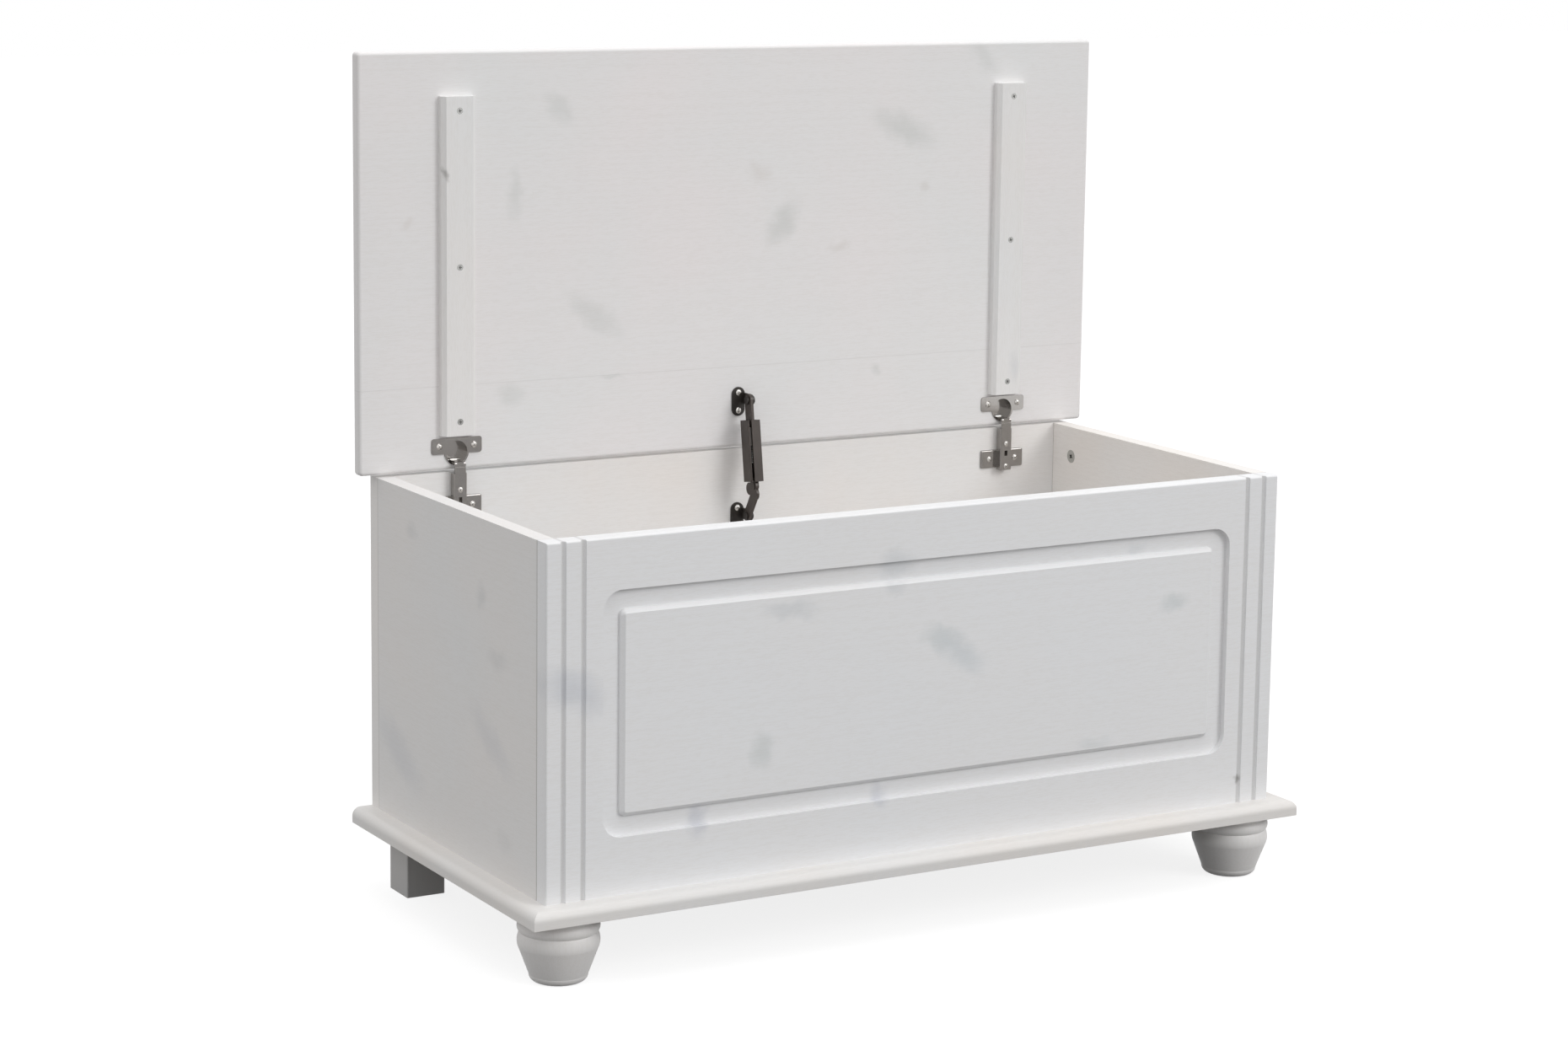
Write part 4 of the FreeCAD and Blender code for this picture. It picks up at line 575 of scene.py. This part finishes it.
for name, body, places, sizes in (("hinge_cup_screws", "lid", cup_places, pan_screw),
                                  ("hinge_plate_screws", "case", plate_places, pan_screw),
                                  ("hinge_arm_screws", "case", arm_places, arm_screw)):
    made = grow("pan_" + name, domed_screws, places, sizes)
    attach(made, body)
    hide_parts(name)

# Lid stay. Two brackets, a lower arm with a cam, a folded sleeve and a sliding upper arm, all pressed from
# steel and lacquered bronze-brown, riveted together. A coil spring and nylon guides run in the sleeve.
PEEL_WIDTH = 0.000714
PEEL_DEPTH = 0.00005
TONE_WIDTH = 0.01667


def lacquered(name, base, cloudy):
    # Stoved lacquer over steel: a dark satin skin with fine orange peel and a slightly cloudy tone.
    finish, tree, shader, place = new_finish(name)
    speck = add_node(tree, "ShaderNodeTexNoise", {
        "Vector": place, "Scale": 1 / PEEL_WIDTH, "Detail": 3.0}).outputs["Fac"]
    cloud = add_node(tree, "ShaderNodeTexNoise", {
        "Vector": place, "Scale": 1 / TONE_WIDTH, "Detail": 2.0}).outputs["Fac"]
    brown = add_node(tree, "ShaderNodeMix", {0: cloud, 6: linear(base), 7: linear(cloudy)},
                     data_type="RGBA").outputs[2]
    satin = add_node(tree, "ShaderNodeMapRange", {
        "Value": speck, "To Min": 0.3, "To Max": 0.45}).outputs[0]
    relief = add_node(tree, "ShaderNodeBump", {
        "Height": speck, "Strength": 0.12, "Distance": PEEL_DEPTH}).outputs[0]
    tree.links.new(brown, shader.inputs["Base Color"])
    tree.links.new(satin, shader.inputs["Roughness"])
    tree.links.new(relief, shader.inputs["Normal"])
    shader.inputs["Metallic"].default_value = 0.15
    return finish


bronze_brown = lacquered("bronze_brown_lacquered_steel", "#3C3531", "#4A423D")
dark_bronze = lacquered("dark_bronze_lacquered_steel", "#2B2826", "#37322E")
for name in ("stay_lower_arm", "stay_sleeve", "stay_upper_arm", "stay_spring_seat", "stay_knee_rivet"):
    dress(name, bronze_brown)
for name in ("stay_case_bracket", "stay_lid_bracket", "stay_case_rivet", "stay_lid_rivet"):
    dress(name, dark_bronze)

# Moulded dark nylon: matt and even, with only a slight mottle.
MOTTLE_WIDTH = 0.00111
nylon, tree, shader, place = new_finish("dark_nylon")
mottle = add_node(tree, "ShaderNodeTexNoise", {"Vector": place, "Scale": 1 / MOTTLE_WIDTH}).outputs["Fac"]
shade = add_node(tree, "ShaderNodeMix", {0: mottle, 6: linear("#35312E"), 7: linear("#403B37")},
                 data_type="RGBA").outputs[2]
tree.links.new(shade, shader.inputs["Base Color"])
shader.inputs["Roughness"].default_value = 0.5
dress("stay_guides", nylon)

STAY_SCREW_STEP = 0.01
BRACKET_SHEET = 0.002
for body in ("lid", "case"):
    low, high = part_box("stay_%s_bracket" % body)
    face_y = high.y - BRACKET_SHEET
    middle = (low + high) / 2
    places = [((middle.x, face_y, middle.z + STAY_SCREW_STEP * step), TO_FRONT) for step in (-1, 1)]
    made = grow("pan_stay_%s_screws" % body, domed_screws, places, pan_screw)
    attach(made, body)
    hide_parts("stay_%s_screws" % body)

slide = next(joint for joint in frame["joints"] if joint["name"] == "stay_slide")
up_sleeve = -Vector(slide["axis"]).normalized()
knee = next(joint for joint in frame["joints"] if joint["name"] == "stay_knee")
SPRING_FOOT = 0.0246
SPRING_LENGTH = 0.02
SPRING_RADIUS = 0.0044
SPRING_TURNS = 7.0
WIRE_RADIUS = 0.0006
spring_foot = Vector(knee["pos_m"]) + up_sleeve * SPRING_FOOT
coil = bpy.data.node_groups.new("coil_spring", "GeometryNodeTree")
coil.interface.new_socket("Foot", in_out="INPUT", socket_type="NodeSocketGeometry")
for size in ("Turns", "Coil Radius", "Height", "Wire Radius"):
    coil.interface.new_socket(size, in_out="INPUT", socket_type="NodeSocketFloat")
coil.interface.new_socket("Finish", in_out="INPUT", socket_type="NodeSocketMaterial")
coil.interface.new_socket("Spring", in_out="OUTPUT", socket_type="NodeSocketGeometry")
given = add_node(coil, "NodeGroupInput").outputs
helix = add_node(coil, "GeometryNodeCurveSpiral", {"Resolution": 24, "Rotations": given["Turns"],
                                                   "Start Radius": given["Coil Radius"],
                                                   "End Radius": given["Coil Radius"],
                                                   "Height": given["Height"]}).outputs[0]
wire = add_node(coil, "GeometryNodeCurvePrimitiveCircle", {
    "Resolution": 10, "Radius": given["Wire Radius"]}).outputs[0]
wound = add_node(coil, "GeometryNodeCurveToMesh", {
    "Curve": helix, "Profile Curve": wire, "Fill Caps": True}).outputs[0]
aim = add_node(coil, "GeometryNodeInputNamedAttribute", {"Name": "aim"},
               data_type="FLOAT_VECTOR").outputs[0]
stood = add_node(coil, "GeometryNodeInstanceOnPoints", {
    "Points": given["Foot"], "Instance": wound, "Rotation": aim}).outputs[0]
real = add_node(coil, "GeometryNodeRealizeInstances", {"Geometry": stood}).outputs[0]
coated = add_node(coil, "GeometryNodeSetMaterial", {
    "Geometry": real, "Material": given["Finish"]}).outputs[0]
add_node(coil, "NodeGroupOutput", {"Spring": coated})
lean = math.atan2(-up_sleeve.y, up_sleeve.z)
spring = grow("stay_coil_spring", coil, [(spring_foot + up_sleeve * WIRE_RADIUS, (lean, 0, 0))], {
    "Turns": SPRING_TURNS, "Coil Radius": SPRING_RADIUS, "Height": SPRING_LENGTH - 2 * WIRE_RADIUS,
    "Wire Radius": WIRE_RADIUS, "Finish": zinc})
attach(spring, "stay_sleeve")
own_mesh(spring)
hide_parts("stay_spring")

# Studio. A plain pale floor, a large soft light from the front right and a weak one overhead, in a surround
# that is brighter above and on the left. Surround and floor read as white to the camera and in reflections,
# and the floor keeps a soft shadow.
FLOOR_HALF = 15.0
floor_mesh = bpy.data.meshes.new("studio_floor")
corners = [(x * FLOOR_HALF, y * FLOOR_HALF, 0) for x, y in ((-1, -1), (1, -1), (1, 1), (-1, 1))]
floor_mesh.from_pydata(corners, [], [(0, 1, 2, 3)])
floor = bpy.data.objects.new("studio_floor", floor_mesh)
scene.collection.objects.link(floor)


def seen_directly(tree):
    # One for a ray that the camera sees, straight on or mirrored, and nothing for one that only lights
    path = add_node(tree, "ShaderNodeLightPath").outputs
    seen = add_node(tree, "ShaderNodeMath", {0: path["Is Camera Ray"], 1: path["Is Glossy Ray"]},
                    operation="MAXIMUM").outputs[0]
    return add_node(tree, "ShaderNodeMath", {0: seen, 1: path["Is Transmission Ray"]},
                    operation="MAXIMUM").outputs[0]


# Matt white paper: white to the eye with a soft shadow left in, and greyer in the light that it throws on
# the chest. A dark patch, seen by no camera, keeps thrown light out of the shade under the chest.
SHADE_MIDDLE = (0.04, 0.04, 0.0)
SHADE_HALF = (0.62, 0.36, 1.0)
SHADE_FULL = 0.8
SHADE_END = 1.1
PAPER_GLOW = 0.83
paper = bpy.data.materials.new("white_studio_paper")
paper.use_nodes = True
tree = paper.node_tree
tree.nodes.clear()
spot = add_node(tree, "ShaderNodeTexCoord").outputs["Object"]
under = add_node(tree, "ShaderNodeMapping", {
    "Vector": spot, "Location": SHADE_MIDDLE, "Scale": SHADE_HALF}, vector_type="TEXTURE").outputs[0]
reach = add_node(tree, "ShaderNodeVectorMath", {0: under}, operation="LENGTH").outputs["Value"]
open_floor = add_node(tree, "ShaderNodeMapRange", {
    "Value": reach, "From Min": SHADE_FULL, "From Max": SHADE_END}).outputs[0]
thrown = add_node(tree, "ShaderNodeMix", {0: open_floor, 6: linear("#1C1C1C"), 7: linear("#8A8988")},
                  data_type="RGBA").outputs[2]
bounce = add_node(tree, "ShaderNodeBsdfDiffuse", {"Color": thrown}).outputs[0]
shadowed = add_node(tree, "ShaderNodeBsdfDiffuse", {"Color": linear("#909090")}).outputs[0]
glow = add_node(tree, "ShaderNodeEmission", {"Color": (1, 1, 1, 1), "Strength": PAPER_GLOW}).outputs[0]
white = add_node(tree, "ShaderNodeAddShader", {0: shadowed, 1: glow}).outputs[0]
mixed = add_node(tree, "ShaderNodeMixShader", {0: seen_directly(tree), 1: bounce, 2: white}).outputs[0]
add_node(tree, "ShaderNodeOutputMaterial", {"Surface": mixed})
floor_mesh.materials.append(paper)

SURROUND_LOW = 0.1
SURROUND_HIGH = 0.8
HIGH_FROM = 0.45
LEFT_GAIN = 1.28
world = bpy.data.worlds.new("white_surround")
scene.world = world
world.use_nodes = True
tree = world.node_tree
tree.nodes.clear()
sky = add_node(tree, "ShaderNodeTexCoord").outputs["Generated"]
sky_way = add_node(tree, "ShaderNodeSeparateXYZ", {0: sky}).outputs
height = add_node(tree, "ShaderNodeMapRange", {
    "Value": sky_way["Z"], "From Max": HIGH_FROM, "To Min": SURROUND_LOW, "To Max": SURROUND_HIGH,
}, interpolation_type="SMOOTHSTEP").outputs[0]
leftness = add_node(tree, "ShaderNodeMapRange", {
    "Value": sky_way["X"], "From Max": -1.0, "To Min": 1.0, "To Max": LEFT_GAIN}).outputs[0]
level = add_node(tree, "ShaderNodeMath", {0: height, 1: leftness}, operation="MULTIPLY").outputs[0]
dim = add_node(tree, "ShaderNodeBackground", {"Color": (1, 1, 1, 1), "Strength": level}).outputs[0]
full = add_node(tree, "ShaderNodeBackground", {"Color": (1, 1, 1, 1), "Strength": 1.0}).outputs[0]
mixed = add_node(tree, "ShaderNodeMixShader", {0: seen_directly(tree), 1: dim, 2: full}).outputs[0]
add_node(tree, "ShaderNodeOutputWorld", {"Surface": mixed})

LIGHT_AIM = Vector((0, 0, 0.4))
lamps = [
    ("soft_key", (6.4, -10.0, 6.8), 6.0, 560.0),
    ("overhead", (0, -0.4, 3.6), 2.6, 24.0),
]
for name, place, width, power in lamps:
    lamp = bpy.data.lights.new(name, "AREA")
    lamp.shape = "SQUARE"
    lamp.size = width
    lamp.energy = power
    lamp_object = bpy.data.objects.new(name, lamp)
    lamp_object.location = place
    lamp_object.rotation_euler = (LIGHT_AIM - Vector(place)).to_track_quat("-Z", "Y").to_euler()
    scene.collection.objects.link(lamp_object)

# Camera. A long lens from the front left and above, fitted to the corners of the chest, with a small
# upward shift because the uprights are nearly parallel.
YAW, PITCH, ROLL = 0.52421, 0.15758, 0.01289
STANDPOINT = (-1.89273, -3.16601, 1.08566)
LENS = 81.364
LENS_SHIFT = -0.0645
camera_data = bpy.data.cameras.new("camera")
camera_data.sensor_fit = "HORIZONTAL"
camera_data.sensor_width = 36.0
camera_data.lens = LENS
camera_data.shift_y = LENS_SHIFT
camera_data.clip_end = 100.0
camera = bpy.data.objects.new("camera", camera_data)
camera.matrix_world = (Matrix.Translation(STANDPOINT) @ Matrix.Rotation(-YAW, 4, "Z")
                       @ Matrix.Rotation(math.pi / 2 - PITCH, 4, "X") @ Matrix.Rotation(ROLL, 4, "Z"))
scene.collection.objects.link(camera)
scene.camera = camera
scene.view_settings.view_transform = "Standard"
